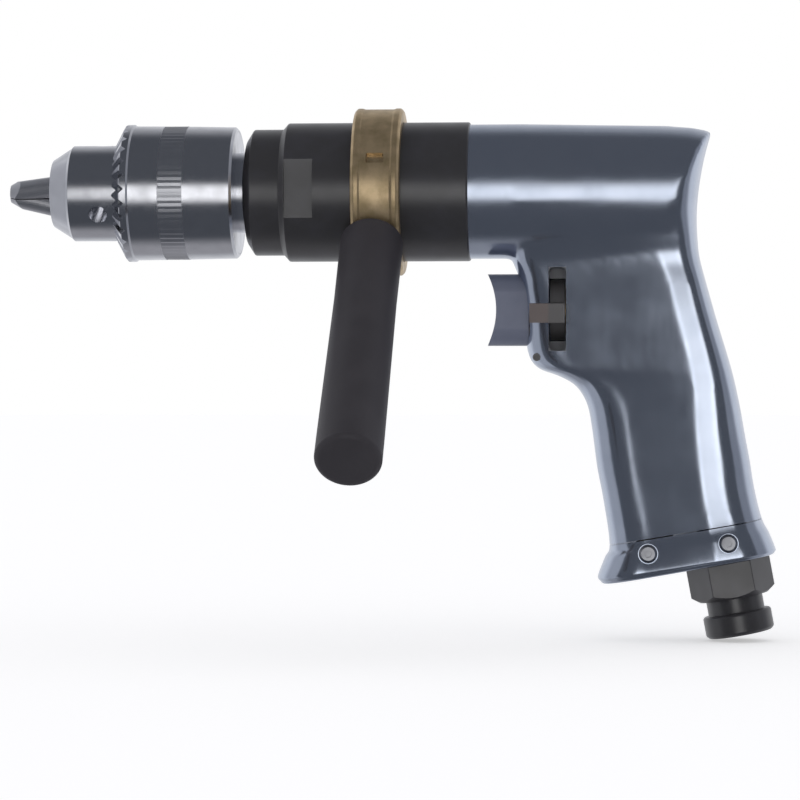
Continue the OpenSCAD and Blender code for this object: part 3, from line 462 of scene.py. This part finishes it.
def turned_steel(name, light, dark, roughness, knurl=None):
    """Turned and polished steel: bright, with fine rings round the axis and a dull knurled band."""
    material, tree, place = new_finish(name)
    # tool lines 0.1 mm apart, drawn 0.35 mm apart to show
    turn = add(tree, "ShaderNodeMapping", {"Vector": place, "Scale": (1, 0.015, 0.015)})
    lines = add(tree, "ShaderNodeTexNoise", {
        "Vector": turn.outputs[0], "Scale": 1 / (0.35 * MM), "Detail": 2.0})
    # handled spots about 6 mm wide
    patches = add(tree, "ShaderNodeTexNoise", {"Vector": place, "Scale": 1 / (6 * MM), "Detail": 4.0})
    tint = add(tree, "ShaderNodeMix", {0: patches.outputs[0], 6: light, 7: dark}, data_type="RGBA")
    rough = add(tree, "ShaderNodeMapRange", {"Value": patches.outputs[0], "From Min": 0.3, "From Max": 0.7,
                                             "To Min": roughness - 0.04, "To Max": roughness + 0.05})
    bump = add(tree, "ShaderNodeBump", {
        "Height": lines.outputs[0], "Strength": 0.08, "Distance": 0.05 * MM})
    normal = bump.outputs[0]
    if knurl:
        along = add(tree, "ShaderNodeSeparateXYZ", {0: place})
        banded = add(tree, "ShaderNodeMath", {0: along.outputs[0], 1: sum(knurl) / 2 * MM,
                                              2: (knurl[1] - knurl[0]) / 2 * MM}, operation="COMPARE")
        rough = add(tree, "ShaderNodeMix", {0: banded.outputs[0], 2: rough.outputs[0], 3: 0.3})
        # the knurl's crests are worn flat and face outwards
        radial = add(tree, "ShaderNodeVectorMath", {0: place, 1: (0, 1, 1)}, operation="MULTIPLY")
        outward = add(tree, "ShaderNodeVectorTransform", {0: radial.outputs[0]}, vector_type="NORMAL",
                      convert_from="OBJECT", convert_to="WORLD")
        worn = add(tree, "ShaderNodeMath", {0: banded.outputs[0], 1: 0.8}, operation="MULTIPLY")
        normal = add(tree, "ShaderNodeMix", {0: worn.outputs[0], 4: normal, 5: outward.outputs[0]},
                     data_type="VECTOR").outputs[1]
    return dressed(material, {
        "Base Color": tint.outputs[2], "Roughness": rough.outputs[0], "Normal": normal, "Metallic": 1.0})


def browned_lever(colours):
    """Browned steel: a satin brown tab, and its disc inside the slot painted darker as shade, with a patchy
    edge.
    """
    material, tree, place = new_finish("browned_steel_lever")
    along = add(tree, "ShaderNodeSeparateXYZ", {0: place})
    # oil varies the shine over spots of about 3 mm, and the same noise makes the edge of the disc's painted
    # shade patchy
    stain_and_shade_edge = add(tree, "ShaderNodeTexNoise", {"Vector": place, "Scale": 1 / (3 * MM), "Detail": 4.0})
    depth = add(tree, "ShaderNodeMath", {0: stain_and_shade_edge.outputs[0], 1: 0.6 * MM, 2: along.outputs[0]},
                operation="MULTIPLY_ADD")
    # the lever's part behind the slot's front lies in the slot, and is painted darker there as shade
    slot_front = SLOT_SPAN[0][0]
    share = add(tree, "ShaderNodeMapRange", {
        "Value": depth.outputs[0], "From Min": slot_front * MM, "From Max": (slot_front + 0.8) * MM})
    tint = add(tree, "ShaderNodeMix", {0: share.outputs[0], 6: colours.lever, 7: colours.lever_disc_painted_shade},
               data_type="RGBA")
    rough = add(tree, "ShaderNodeMapRange", {"Value": stain_and_shade_edge.outputs[0], "To Min": 0.34, "To Max": 0.48})
    # the brown oxide is what shines, and it is no metal
    return dressed(material, {"Base Color": tint.outputs[2], "Roughness": rough.outputs[0], "IOR": 1.7})


def satin_mass(name, light, dark, roughness, grain, ior):
    """Moulded or pressed stuff, such as plastic, rubber, fibre or felt: a fine grain and uneven tone."""
    material, tree, place = new_finish(name)
    texture = add(tree, "ShaderNodeTexNoise", {"Vector": place, "Scale": 1 / (grain * MM), "Detail": 3.0})
    # the tone varies over about 8 mm
    tone = add(tree, "ShaderNodeTexNoise", {"Vector": place, "Scale": 1 / (8 * MM), "Detail": 4.0})
    tint = add(tree, "ShaderNodeMix", {0: tone.outputs[0], 6: light, 7: dark}, data_type="RGBA")
    rough = add(tree, "ShaderNodeMapRange", {"Value": tone.outputs[0], "From Min": 0.3, "From Max": 0.7,
                                             "To Min": roughness - 0.06, "To Max": roughness + 0.06})
    bump = add(tree, "ShaderNodeBump", {
        "Height": texture.outputs[0], "Strength": 0.2, "Distance": 0.08 * MM})
    return dressed(material, {"Base Color": tint.outputs[2], "Roughness": rough.outputs[0],
                              "Normal": bump.outputs[0], "IOR": ior})


# finish of each material slot: steels by name, light and dark colour and roughness, and masses also by
# the width of their grain and their IOR
FINISHES = {
    "polished_aluminium": polished_aluminium,
    "black_steel": blackened_steel,
    "brass": cast_brass,
    "black_rubber": moulded_rubber,
    "dark_bronze": browned_lever,
    "chrome_steel": lambda c: turned_steel("polished_chuck_steel", c.chuck, c.chuck_shade, 0.18, KNURL),
    "ground_steel": lambda c: turned_steel("turned_nose_steel", c.chuck, c.chuck_shade, 0.2),
    "jaw_steel": lambda c: turned_steel(
        "hardened_jaw_steel", linear("#E4E4E8"), linear("#CACACF"), 0.42),
    "gear_steel": lambda c: turned_steel(
        "ground_gear_steel", linear("#A4A6AB"), linear("#86888E"), 0.28),
    "bearing_steel": lambda c: turned_steel(
        "lapped_bearing_steel", linear("#C3C5CA"), linear("#A9ABB1"), 0.14),
    "spring_steel": lambda c: turned_steel(
        "drawn_spring_wire", linear("#9A9CA2"), linear("#7B7D83"), 0.26),
    "liner_iron": lambda c: turned_steel(
        "honed_liner_iron", linear("#8E9094"), linear("#707276"), 0.34),
    "dark_screw": lambda c: turned_steel(
        "oiled_black_screws", linear("#B2B3B8"), linear("#96979C"), 0.34),
    "grey_plastic": lambda c: satin_mass(
        "satin_grey_trigger", c.trigger, c.trigger_shade, 0.34, 0.5, 1.5),
    "seal_rubber": lambda c: satin_mass(
        "nitrile_rubber", linear("#1E1E20"), linear("#151516"), 0.55, 0.4, 1.52),
    "vane_fibre": lambda c: satin_mass(
        "phenolic_vanes", linear("#7A4F2E"), linear("#5C3920"), 0.45, 0.4, 1.55),
    "gasket_fibre": lambda c: satin_mass(
        "gasket_paper", linear("#6E6A52"), linear("#565340"), 0.75, 0.5, 1.45),
    "felt": lambda c: satin_mass(
        "pressed_felt", linear("#B7A788"), linear("#94866B"), 0.9, 0.7, 1.45),
}


def finish_of(slot):
    """Finish of a material slot, made when it is first asked for."""
    key = "finish_" + slot
    scene = bpy.context.scene
    if key not in scene:
        scene[key] = FINISHES[slot](scene.air_drill_colours).name
    return bpy.data.materials[scene[key]]


# Sizes and colours that a user may change

def length(name, description, size):
    """Property for a length that is written in millimetres."""
    return FloatProperty(name=name, description=description, default=size * MM, unit="LENGTH")


class AirDrillSizes(bpy.types.PropertyGroup):
    """Sizes of the drill's hand made pieces."""

    barrel_radius: length("Barrel radius", "Radius of the aluminium barrel", 22.1)
    casting_step: length("Casting step", "Size of the mesh that the casting is fused with", 0.68)
    casting_rounds: IntProperty(
        name="Casting rounds", description="How often the casting's edges are eased", default=24)
    seam_width: length("Seam width", "Width of the seam above the base cap", 0.35)
    case_radius: length("Case radius", "Radius of the black gear case", 22.85)
    flat_depth: length("Flat depth", "Depth of each wrench flat on the gear case", 2.1)
    clamp_rim: length("Clamp rim", "Width of the raised rims of the clamp ring", 3.0)
    clamp_groove: length("Clamp groove", "Depth of the clamp ring between its rims", 0.3)
    handle_radius: length("Handle radius", "Radius of the side handle", 10.2)
    edge_round: length("Edge round", "Rounding of machined edges", 0.35)
    hexagon: length("Hexagon", "Inlet hexagon across its corners", 27.7)
    spring_wire: length("Spring wire", "Thickness of the valve spring's wire", 0.9)
    trigger_travel: length("Trigger travel", "How far the trigger goes in", 5.0)


def colour(name, description, code):
    """Property for a colour that is written as an sRGB hex value."""
    return FloatVectorProperty(name=name, description=description, default=linear(code), size=4,
                               min=0.0, max=1.0, subtype="COLOR")


class AirDrillColours(bpy.types.PropertyGroup):
    """Colours of the drill's finishes."""

    aluminium: colour("Aluminium", "Polished casting", "#CED6E5")
    aluminium_shade: colour("Aluminium shade", "Duller patches of the casting", "#BFC8D9")
    # dull as-cast skin in the lever's slot, painted a little darker as shade in the recess
    slot_skin_and_shade: colour("Cast skin", "Unpolished skin inside the lever's slot", "#C4C5C9")
    black_steel: colour("Black steel", "Blackened gear case and inlet", "#3A393B")
    black_steel_rubbed: colour("Rubbed black", "Rubbed patches of the black steel", "#414045")
    brass: colour("Brass", "Clamp ring", "#E3C9A0")
    brass_tarnish: colour("Brass tarnish", "Dull patches of the clamp ring", "#BDA67F")
    rubber: colour("Rubber", "Side handle", "#3F3C41")
    rubber_dust: colour("Rubber dust", "Dusty patches of the side handle", "#454247")
    chuck: colour("Chuck", "Polished chuck", "#E6E7EC")
    chuck_shade: colour("Chuck shade", "Duller patches of the chuck", "#D2D3D9")
    trigger: colour("Trigger", "Trigger", "#868CA0")
    trigger_shade: colour("Trigger shade", "Darker patches of the trigger", "#777D90")
    lever: colour("Lever", "Tab of the reverse lever", "#6A5E5B")
    # painted shade on the reverse lever's disc inside the slot
    lever_disc_painted_shade: colour("Lever shade", "Oily disc of the reverse lever", "#5C5A5A")
    floor: colour("Floor", "Floor under the drill", "#F2F2F2")


# Pieces

def section_ring(section, limit, half=40, side=14):
    """Points round one section of the casting, in metres."""
    x0, z0, x1, z1, width, front_cap, back_cap, share = section
    run = math.hypot(x1 - x0, z1 - z0)
    crest = run - back_cap
    power = 2 / SECTION_POWER

    def eased(value):
        return math.copysign(abs(value) ** power, value)

    points = []
    for k in range(half + 1):
        a = math.radians(90 + FRONT_STOP + (180 - 2 * FRONT_STOP) * k / half)
        points.append((front_cap * (1 + eased(math.cos(a))), width * share * eased(math.sin(a))))
    (u0, v0), (u1, v1) = points[-1], (crest - CREST_FLAT, -width)
    points += [(u0 + (u1 - u0) * k / side, v0 + (v1 - v0) * k / side) for k in range(1, side + 1)]
    for k in range(half + 1):
        a = math.radians(270 + 180 * k / half)
        points.append((crest + back_cap * eased(math.cos(a)), width * eased(math.sin(a))))
    points += [(u1 + (u0 - u1) * k / side, -v1 + (v1 - v0) * k / side) for k in range(side)]
    ring = []
    for u, v in points:
        x = x0 + (x1 - x0) * u / run
        z = z0 + (z1 - z0) * u / run
        top = max(z, 0)
        reach = math.sqrt(limit ** 2 - top ** 2)
        fall = max(0, x - DRAFT_X) * math.tan(DRAFT) + CORNER_EASE * max(0, x - CORNER_X) ** 2
        ring.append(BARREL_FRONT + Vector((x, max(-reach, min(reach, v)), z - fall * top / limit)) * MM)
    return ring


def blended(a, b, c, d, t):
    """Smooth step between the middle two of four sections."""
    return [0.5 * (2 * q + (r - p) * t + (2 * p - 5 * q + 4 * r - s) * t ** 2
                   + (3 * q - p - 3 * r + s) * t ** 3) for p, q, r, s in zip(a, b, c, d)]


def casting_rings(limit):
    """Rings of points from the barrel's top to the foot, with half widths held to a limit."""
    rows = CASTING_SECTIONS
    last = len(rows) - 1
    rings = []
    for i in range(last):
        for j in range(SECTION_STEPS):
            section = blended(rows[max(0, i - 1)], rows[i], rows[i + 1], rows[min(last, i + 2)],
                              j / SECTION_STEPS)
            rings.append(section_ring(section, limit))
    rings.append(section_ring(rows[last], limit))
    return rings


class AIRDRILL_OT_casting(bpy.types.Operator):
    """Models the barrel and grip casting and its base cap"""

    bl_idname = "airdrill.casting"
    bl_label = "Casting and base cap"

    def execute(self, context):
        sizes = context.scene.air_drill_sizes
        reach = sizes.barrel_radius / MM
        rings = casting_rings(reach)
        form = self.fuse(rings, reach, sizes)
        cap = wrapped("base_cap_casting", rings[-CAP_SPANS * SECTION_STEPS - 1:])
        seam = (SEAM_BACK - SEAM_FRONT).normalized().cross(Vector((0, 1, 0)))
        seam_point = BARREL_FRONT + SEAM_FRONT * MM
        halved(form, BARREL_FRONT, (-1, 0, 0))
        halved(form, seam_point, -seam)
        halved(cap, seam_point - seam * sizes.seam_width, seam)
        self.bore_housing(form)
        self.bore_foot(form, cap)
        finish_piece(form, "housing", "motor_housing", "polished_aluminium", 40)
        finish_piece(cap, "housing", "base_cap", "polished_aluminium", 40)
        return {"FINISHED"}

    def fuse(self, rings, reach, sizes):
        """Fuses the grip's loft with the barrel, whose rear part is drafted, and eases the edges."""
        form = wrapped("motor_housing_casting", rings)
        drafted = (ON_BARREL @ Matrix.Translation((0, 0, DRAFT_X * MM))
                   @ Matrix.Rotation(DRAFT, 4, "Y"))
        overlap, rear_length = 1, 48
        combine(form, rod(-6, DRAFT_X + overlap, reach, ON_BARREL, sides=160), "UNION")
        combine(form, rod(-overlap, rear_length, reach, drafted, sides=160), "UNION")
        modify(form, "REMESH", mode="VOXEL", voxel_size=sizes.casting_step)
        modify(form, "SMOOTH", factor=0.5, iterations=sizes.casting_rounds)
        return form

    def bore_housing(self, form):
        """Bores the casting for the gear case, the motor, the trigger, the lever, the valve and the pin."""
        motor_radius = 19.5
        motor_end = (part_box("motor_gasket")[1] - BARREL_FRONT).x / MM
        combine(form, rod(-1, SPIGOT_LENGTH + 0.1, SPIGOT_RADIUS, ON_BARREL, sides=96))
        combine(form, rod(1, motor_end, motor_radius, ON_BARREL, sides=96))
        pocket_end, half_width, half_height = AHEAD + 24.7, 6.8, 12.1
        combine(form, block((AHEAD - 4, -half_width, TRIGGER_Z - half_height),
                            (pocket_end, half_width, TRIGGER_Z + half_height), 0, half_width - 0.01))
        slot_front, slot_back = AHEAD + SLOT_X[0], AHEAD + SLOT_X[1]
        combine(form, block((slot_front, -30, TRIGGER_Z - SLOT_HALF),
                            (slot_back, 0, TRIGGER_Z + SLOT_HALF), 1, 1.6))
        disc_radius, valve_radius, valve_end = 10.3, 8.0, 203.3
        combine(form, rod(slot_front, slot_back, disc_radius, ON_TRIGGER, sides=64))
        combine(form, rod(pocket_end - 1, valve_end, valve_radius, ON_TRIGGER, sides=64))
        low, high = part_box("lock_pin")
        on_pin = Matrix.Translation(((low.x + high.x) / 2, 0, (low.z + high.z) / 2)) @ ALONG_Y
        pin_radius = 1.3
        combine(form, rod(-30, 30, pin_radius, on_pin, sides=32))

    def bore_foot(self, form, cap):
        """Bores the foot for the muffler and the inlet, and the cap for its screws and the exhaust."""
        foot = foot_place()
        muffler = foot @ Matrix.Translation((MUFFLER_X * MM, 0, 0))
        muffler_floor, muffler_radius, shank_end = 3.4, 6.15, 16.2
        for piece in (form, cap):
            combine(piece, rod(muffler_floor, 40, muffler_radius, muffler, sides=48))
            combine(piece, rod(-2, shank_end, SHANK_RADIUS, foot, sides=64))
        seat_depth, seat_radius = 1.6, 3.25
        for x, z, y in SCREW_PLACES:
            for side in (-1, 1):
                seat = (foot @ Matrix.Translation(Vector((x, side * (y - seat_depth), z)) * MM)
                        @ Matrix.Rotation(math.radians(-90 * side), 4, "X"))
                combine(cap, rod(0, 12, seat_radius, seat, sides=48))
        hole_radius, pitch = 1.2, 3.6
        for i in range(9):
            hole = muffler @ Matrix.Translation(Vector((pitch * (i % 3 - 1), pitch * (i // 3 - 1), 0)) * MM)
            combine(cap, rod(-4, 5, hole_radius, hole, sides=24))


class AIRDRILL_OT_gear_case(bpy.types.Operator):
    """Turns the black gear case and mills its wrench flats"""

    bl_idname = "airdrill.gear_case"
    bl_label = "Gear case"

    def execute(self, context):
        sizes = context.scene.air_drill_sizes
        radius = sizes.case_radius / MM
        front, step, back = 64.9, 78.6, 138.4
        nose, neck = radius - 5.65, radius - 2.05
        gear_bore, bearing_bore, seal_bore, spindle_bore = 19.6, 17.5, 12.5, 9.5
        gear_end, bearing_back, bearing_front, seal_front = 86.4, 80.7, 69.7, 66.5
        outline = [(nose, front), (neck, front + 2.3), (neck, step - 1.8), (radius, step),
                   (radius, back - 0.4), (radius - 0.4, back), (SPIGOT_RADIUS, back),
                   (SPIGOT_RADIUS, back + SPIGOT_LENGTH - 0.6), (SPIGOT_RADIUS - 0.6, back + SPIGOT_LENGTH),
                   (gear_bore, back + SPIGOT_LENGTH), (gear_bore, gear_end), (bearing_bore, bearing_back),
                   (bearing_bore, bearing_front), (seal_bore, bearing_front), (seal_bore, seal_front),
                   (spindle_bore, seal_front), (spindle_bore, front)]
        case = turned("blackened_gear_case", outline, ALONG_X, steps=128)
        soften(case, sizes.edge_round, 15)
        flat_length = 9.4
        half = radius - sizes.flat_depth / MM
        for side in (-1, 1):
            near, far = sorted((side * half, side * (half + 10)))
            combine(case, block((step, near, -20), (step + flat_length, far, 20), 1, 1.2, 4))
        finish_piece(case, "housing", "gear_case", "black_steel", 20)
        return {"FINISHED"}


class AIRDRILL_OT_handle_clamp(bpy.types.Operator):
    """Models the brass clamp ring with its rims, pad and notch"""

    bl_idname = "airdrill.handle_clamp"
    bl_label = "Handle clamp"

    def execute(self, context):
        sizes = context.scene.air_drill_sizes
        low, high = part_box("handle_clamp")
        x0, x1 = low.x / MM, high.x / MM
        rim, groove = sizes.clamp_rim / MM, sizes.clamp_groove / MM
        inner, outer, chamfer = 22.9, 27.54, 0.9
        outline = [(inner, x0), (outer - chamfer, x0), (outer, x0 + chamfer), (outer, x0 + rim - 0.5),
                   (outer - groove, x0 + rim), (outer - groove, x1 - rim), (outer, x1 - rim + 0.5),
                   (outer, x1 - chamfer), (outer - chamfer, x1), (inner, x1)]
        clamp = turned("cast_handle_clamp", outline, ALONG_X, steps=128)
        soften(clamp, 0.5 * MM, 15)
        pad_radius, pad_end = 6.8, 27.75
        pad = rod(20, pad_end, pad_radius, handle_place(), sides=64)
        soften(pad, 0.6 * MM, 30)
        combine(pad, rod(x0 - 5, x1 + 5, inner, ALONG_X, sides=128))
        combine(clamp, pad, "UNION")
        notch_x, notch_half, notch_floor, notch_low, notch_high = 108.6, 2.8, -24.0, 7.1, 10.5
        notch = block((notch_x - notch_half, -40, notch_low),
                      (notch_x + notch_half, notch_floor, notch_high), 1, 0.5, 3)
        floor = Matrix.Translation(Vector((0, notch_floor, (notch_low + notch_high) / 2)) * MM)
        lean = floor @ Matrix.Rotation(math.radians(-20), 4, "X") @ floor.inverted()
        combine(clamp, set_in_place(notch, lean))
        finish_piece(clamp, "handle_clamp", "handle_clamp", "brass")
        return {"FINISHED"}


class AIRDRILL_OT_side_handle(bpy.types.Operator):
    """Turns the side handle with its rounded end and the hole for its stud"""

    bl_idname = "airdrill.side_handle"
    bl_label = "Side handle"

    def execute(self, context):
        radius = context.scene.air_drill_sizes.handle_radius / MM
        root, waist, swell, tip = 28.05, 60.0, 126.5, 138.55
        stud_radius, stud_end = 4.0, 68.2
        outline = [(stud_radius, root), (radius - 0.8, root), (radius, root + 0.8), (radius - 0.3, waist),
                   (radius, swell), (radius, tip - 1.55), (radius - 1.2, tip - 0.55),
                   (radius - 2.4, tip - 0.35), (0, tip), (0, stud_end), (stud_radius, stud_end)]
        handle = turned("moulded_side_handle", outline, handle_place())
        soften(handle, 0.5 * MM, 12, 3)
        finish_piece(handle, "side_handle", "side_handle", "black_rubber")
        return {"FINISHED"}


class AIRDRILL_OT_trigger(bpy.types.Operator):
    """Models the trigger with its hollow front for the finger"""

    bl_idname = "airdrill.trigger"
    bl_label = "Trigger"

    def execute(self, context):
        front, back, half_width, half_height = 144.0, 157.7, 6.5, 11.8
        trigger = block((front, -half_width, TRIGGER_Z - half_height),
                        (back, half_width, TRIGGER_Z + half_height), 0, half_width - 0.01, 14)
        trigger.name = "satin_trigger"
        scoop_x, scoop_radius = 122.0, 25.0
        scoop = Matrix.Translation(Vector((scoop_x, 0, TRIGGER_Z)) * MM) @ ALONG_Y
        combine(trigger, rod(-10, 10, scoop_radius, scoop, sides=160))
        soften(trigger, 0.9 * MM, 40, 3)
        stem_front, stem_radius = 149.7, 2.4
        combine(trigger, rod(stem_front, back + 1.3, stem_radius, ON_TRIGGER, sides=32))
        finish_piece(trigger, "trigger", "trigger", "grey_plastic", 30)
        return {"FINISHED"}


class AIRDRILL_OT_inlet_bushing(bpy.types.Operator):
    """Models the inlet bushing with its hexagon, neck, collar and threaded bore"""

    bl_idname = "airdrill.inlet_bushing"
    bl_label = "Inlet bushing"

    def execute(self, context):
        corner = context.scene.air_drill_sizes.hexagon / 2 / MM
        height = 11.8
        hexagon = rod(-height, 0, corner, Matrix.Rotation(math.radians(30), 4, "Z"), sides=6)
        chamfer = turned("hexagon_chamfer", [
            (0, -height), (corner - 2.6, -height), (corner + 0.6, 2.4 - height), (corner + 0.6, -0.5),
            (corner - 0.4, 0), (0, 0)], AT_ORIGIN)
        soften(hexagon, 0.3 * MM, 25)
        combine(hexagon, chamfer, "INTERSECT")
        thread, air_way, collar, neck = 5.55, 4.55, 11.2, 9.25
        end, collar_top, thread_top, shank_top = -24.0, -16.7, -10.0, 15.0
        neck_top = 0.8 - height
        body = turned("turned_inlet_bushing", [
            (thread, end), (collar - 1, end), (collar, end + 1), (collar, collar_top - 0.6),
            (collar - 0.6, collar_top), (neck, collar_top), (neck, neck_top), (SHANK_RADIUS, neck_top),
            (SHANK_RADIUS, shank_top), (air_way, shank_top), (air_way, thread_top), (thread, thread_top)],
            AT_ORIGIN)
        soften(body, 0.3 * MM, 25)
        combine(hexagon, rod(-height - 1.2, 1, thread + 0.45, AT_ORIGIN))
        combine(body, hexagon, "UNION")
        set_in_place(body, foot_place())
        finish_piece(body, "housing", "inlet_bushing", "black_steel", 20)
        return {"FINISHED"}


class AIRDRILL_OT_valve_spring(bpy.types.Operator):
    """Winds the valve spring at its rest length; in the drill the throttle valve shortens it as the trigger
    is pulled
    """

    bl_idname = "airdrill.valve_spring"
    bl_label = "Valve spring"

    def execute(self, context):
        sizes = context.scene.air_drill_sizes
        wire = sizes.spring_wire / 2
        low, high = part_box("valve_spring")
        coil = (high.y - low.y) / 2 - wire
        middle = (low.z + high.z) / 2
        turns, per_turn, sides = 5, 20, 8
        steps = turns * per_turn
        rings = []
        for i in range(steps + 1):
            turn = 2 * math.pi * i / per_turn
            x = low.x + wire + (high.x - low.x - 2 * wire) * i / steps
            ring = []
            for k in range(sides):
                around = 2 * math.pi * k / sides
                radius = coil + wire * math.cos(around)
                ring.append(Vector((x + wire * math.sin(around), radius * math.cos(turn),
                                    middle + radius * math.sin(turn))))
            rings.append(ring)
        spring = wrapped("coiled_valve_spring", rings)
        finish_piece(spring, "housing", "valve_spring", "spring_steel", 50)
        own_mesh(spring)
        return {"FINISHED"}


class AIRDRILL_OT_finishes(bpy.types.Operator):
    """Gives the chuck, the screws and the inner works their finishes"""

    bl_idname = "airdrill.finishes"
    bl_label = "Finishes of the frame"

    def execute(self, context):
        slots = {part["node"]: part["material_slot"] for part in frame["record"]["subparts"]}
        # the trigger pin's ends show, and are as dark as the gear case
        slots["lock_pin"] = "black_steel"
        for name, node in frame["nodes"].items():
            for index in range(len(node.material_slots)):
                node.material_slots[index].material = finish_of(slots[name])
        return {"FINISHED"}


class AIRDRILL_OT_stage(bpy.types.Operator):
    """Sets the floor, the studio light and the camera"""

    bl_idname = "airdrill.stage"
    bl_label = "Stage"

    def execute(self, context):
        scene = context.scene
        scene.view_settings.view_transform = "Standard"
        self.make_floor(scene)
        self.make_world(scene)
        camera = bpy.data.objects.new("camera", bpy.data.cameras.new("camera"))
        scene.collection.objects.link(camera)
        camera.data.lens = CAMERA_LENS
        camera.data.sensor_width = 36
        camera.location = CAMERA_PLACE
        camera.rotation_euler = (math.radians(90), 0, CAMERA_TURN)
        scene.camera = camera
        return {"FINISHED"}

    def make_floor(self, scene):
        """Lays a pale floor just under the drill, which the drill doesn't mirror."""
        bpy.ops.object.select_all(action="DESELECT")
        metres, middle, gap = 30, 0.1, 0.5 * MM
        bpy.ops.mesh.primitive_plane_add(size=metres, location=(middle, 0, CAD_BOX[0][2] - gap))
        floor = bpy.context.object
        floor.name = "floor"
        material = bpy.data.materials.new("pale_floor")
        material.use_nodes = True
        tree = material.node_tree
        tree.nodes.clear()
        shade = add(tree, "ShaderNodeBsdfDiffuse", {"Color": scene.air_drill_colours.floor})
        path = add(tree, "ShaderNodeLightPath")
        lift = add(tree, "ShaderNodeMath", {0: path.outputs["Is Camera Ray"], 1: FLOOR_GLOW},
                   operation="MULTIPLY")
        glow = add(tree, "ShaderNodeEmission", {"Strength": lift.outputs[0]})
        pale = add(tree, "ShaderNodeAddShader", {0: shade.outputs[0], 1: glow.outputs[0]})
        add(tree, "ShaderNodeOutputMaterial", {"Surface": pale.outputs[0]})
        floor.data.materials.append(material)
        floor.visible_glossy = False

    def make_world(self, scene):
        """Builds the studio that polished pieces mirror, from panels at angles across and up."""
        world = bpy.data.worlds.new("studio")
        scene.world = world
        world.use_nodes = True
        tree = world.node_tree
        tree.nodes.clear()
        way = add(tree, "ShaderNodeSeparateXYZ", {0: add(tree, "ShaderNodeTexCoord").outputs["Generated"]})
        ahead = add(tree, "ShaderNodeMath", {0: way.outputs[1], 1: -1.0}, operation="MULTIPLY")
        side = add(tree, "ShaderNodeMath", {0: way.outputs[0], 1: ahead.outputs[0]}, operation="ARCTAN2")
        height = add(tree, "ShaderNodeMath", {0: way.outputs[2]}, operation="ARCSINE")
        across, up = side.outputs[0], height.outputs[0]

        def band(source, middle, half, edge):
            """Share that is 1 inside a band of angles and falls to 0 over its edge, all in degrees."""
            off = add(tree, "ShaderNodeMath", {0: source, 1: math.radians(middle)}, operation="SUBTRACT")
            far = add(tree, "ShaderNodeMath", {0: off.outputs[0]}, operation="ABSOLUTE")
            start, end = math.radians(half), math.radians(half + edge)
            ramp = add(tree, "ShaderNodeMapRange", {
                "Value": far.outputs[0], "From Min": start, "From Max": end, "To Min": 1.0, "To Max": 0.0},
                interpolation_type="SMOOTHSTEP")
            return ramp.outputs[0]

        def panel(under, one, other, shine):
            """Lays a panel of one light over what lies under it, where two shares cross."""
            share = add(tree, "ShaderNodeMath", {0: one, 1: other}, operation="MULTIPLY")
            return add(tree, "ShaderNodeMix", {0: share.outputs[0], 6: under, 7: shine},
                       data_type="RGBA").outputs[2]

        behind = add(tree, "ShaderNodeMapRange", {
            "Value": way.outputs[1], "From Min": 0.15, "From Max": 0.6}, interpolation_type="SMOOTHSTEP")
        beyond = add(tree, "ShaderNodeMapRange", {
            "Value": way.outputs[1], "From Min": -0.12, "From Max": 0.35}, interpolation_type="SMOOTHSTEP")
        room = panel(DIM_ROOM, band(across, -98, 32, 6), band(up, 0, 45, 20), LEFT_WALL)
        room = panel(room, band(across, 98, 30, 8), band(up, 0, 45, 20), RIGHT_WALL)
        room = panel(room, behind.outputs[0], band(up, 0, 0, 85), BACK_WALL)
        room = panel(room, beyond.outputs[0], band(up, -90, 40, 14), PALE_GROUND)
        lamp = band(up, -4, 4, 16)
        room = panel(room, band(across, 1, 10, 1.2), lamp, LAMP)
        for middle, half in ((-7.5, 1.5), (8, 3)):
            room = panel(room, band(across, middle, half, 2), lamp, LAMP_EDGE)
        # only what is mirrored shows the room: the rest gets an even light, and the backdrop is white
        path = add(tree, "ShaderNodeLightPath")
        light = add(tree, "ShaderNodeMix", {0: path.outputs["Is Glossy Ray"], 6: SOFT_LIGHT, 7: room},
                    data_type="RGBA")
        light = add(tree, "ShaderNodeMix", {
            0: path.outputs["Is Camera Ray"], 6: light.outputs[2], 7: WHITE}, data_type="RGBA")
        background = add(tree, "ShaderNodeBackground", {"Color": light.outputs[2], "Strength": 1.0})
        add(tree, "ShaderNodeOutputWorld", {"Surface": background.outputs[0]})


PIECES = (AIRDRILL_OT_finishes, AIRDRILL_OT_casting, AIRDRILL_OT_gear_case, AIRDRILL_OT_handle_clamp,
          AIRDRILL_OT_side_handle, AIRDRILL_OT_trigger, AIRDRILL_OT_inlet_bushing,
          AIRDRILL_OT_valve_spring, AIRDRILL_OT_stage)


class AIRDRILL_PT_panel(bpy.types.Panel):
    """Lists the drill's pieces, sizes and colours"""

    bl_idname = "AIRDRILL_PT_panel"
    bl_label = "Air Drill"
    bl_space_type = "VIEW_3D"
    bl_region_type = "UI"
    bl_category = "Air Drill"

    def draw(self, context):
        layout = self.layout
        for piece in PIECES:
            layout.operator(piece.bl_idname)
        for group in (context.scene.air_drill_sizes, context.scene.air_drill_colours):
            for name in group.__annotations__:
                layout.prop(group, name)


CLASSES = (AirDrillSizes, AirDrillColours) + PIECES + (AIRDRILL_PT_panel,)


def register():
    for item in CLASSES:
        bpy.utils.register_class(item)
    bpy.types.Scene.air_drill_sizes = PointerProperty(type=AirDrillSizes)
    bpy.types.Scene.air_drill_colours = PointerProperty(type=AirDrillColours)


def unregister():
    del bpy.types.Scene.air_drill_colours
    del bpy.types.Scene.air_drill_sizes
    for item in reversed(CLASSES):
        bpy.utils.unregister_class(item)


def main():
    register()
    bpy.ops.airdrill.finishes()
    bpy.ops.airdrill.casting()
    bpy.ops.airdrill.gear_case()
    bpy.ops.airdrill.handle_clamp()
    bpy.ops.airdrill.side_handle()
    bpy.ops.airdrill.trigger()
    bpy.ops.airdrill.inlet_bushing()
    bpy.ops.airdrill.valve_spring()
    bpy.ops.airdrill.stage()


if __name__ == "__main__":
    main()
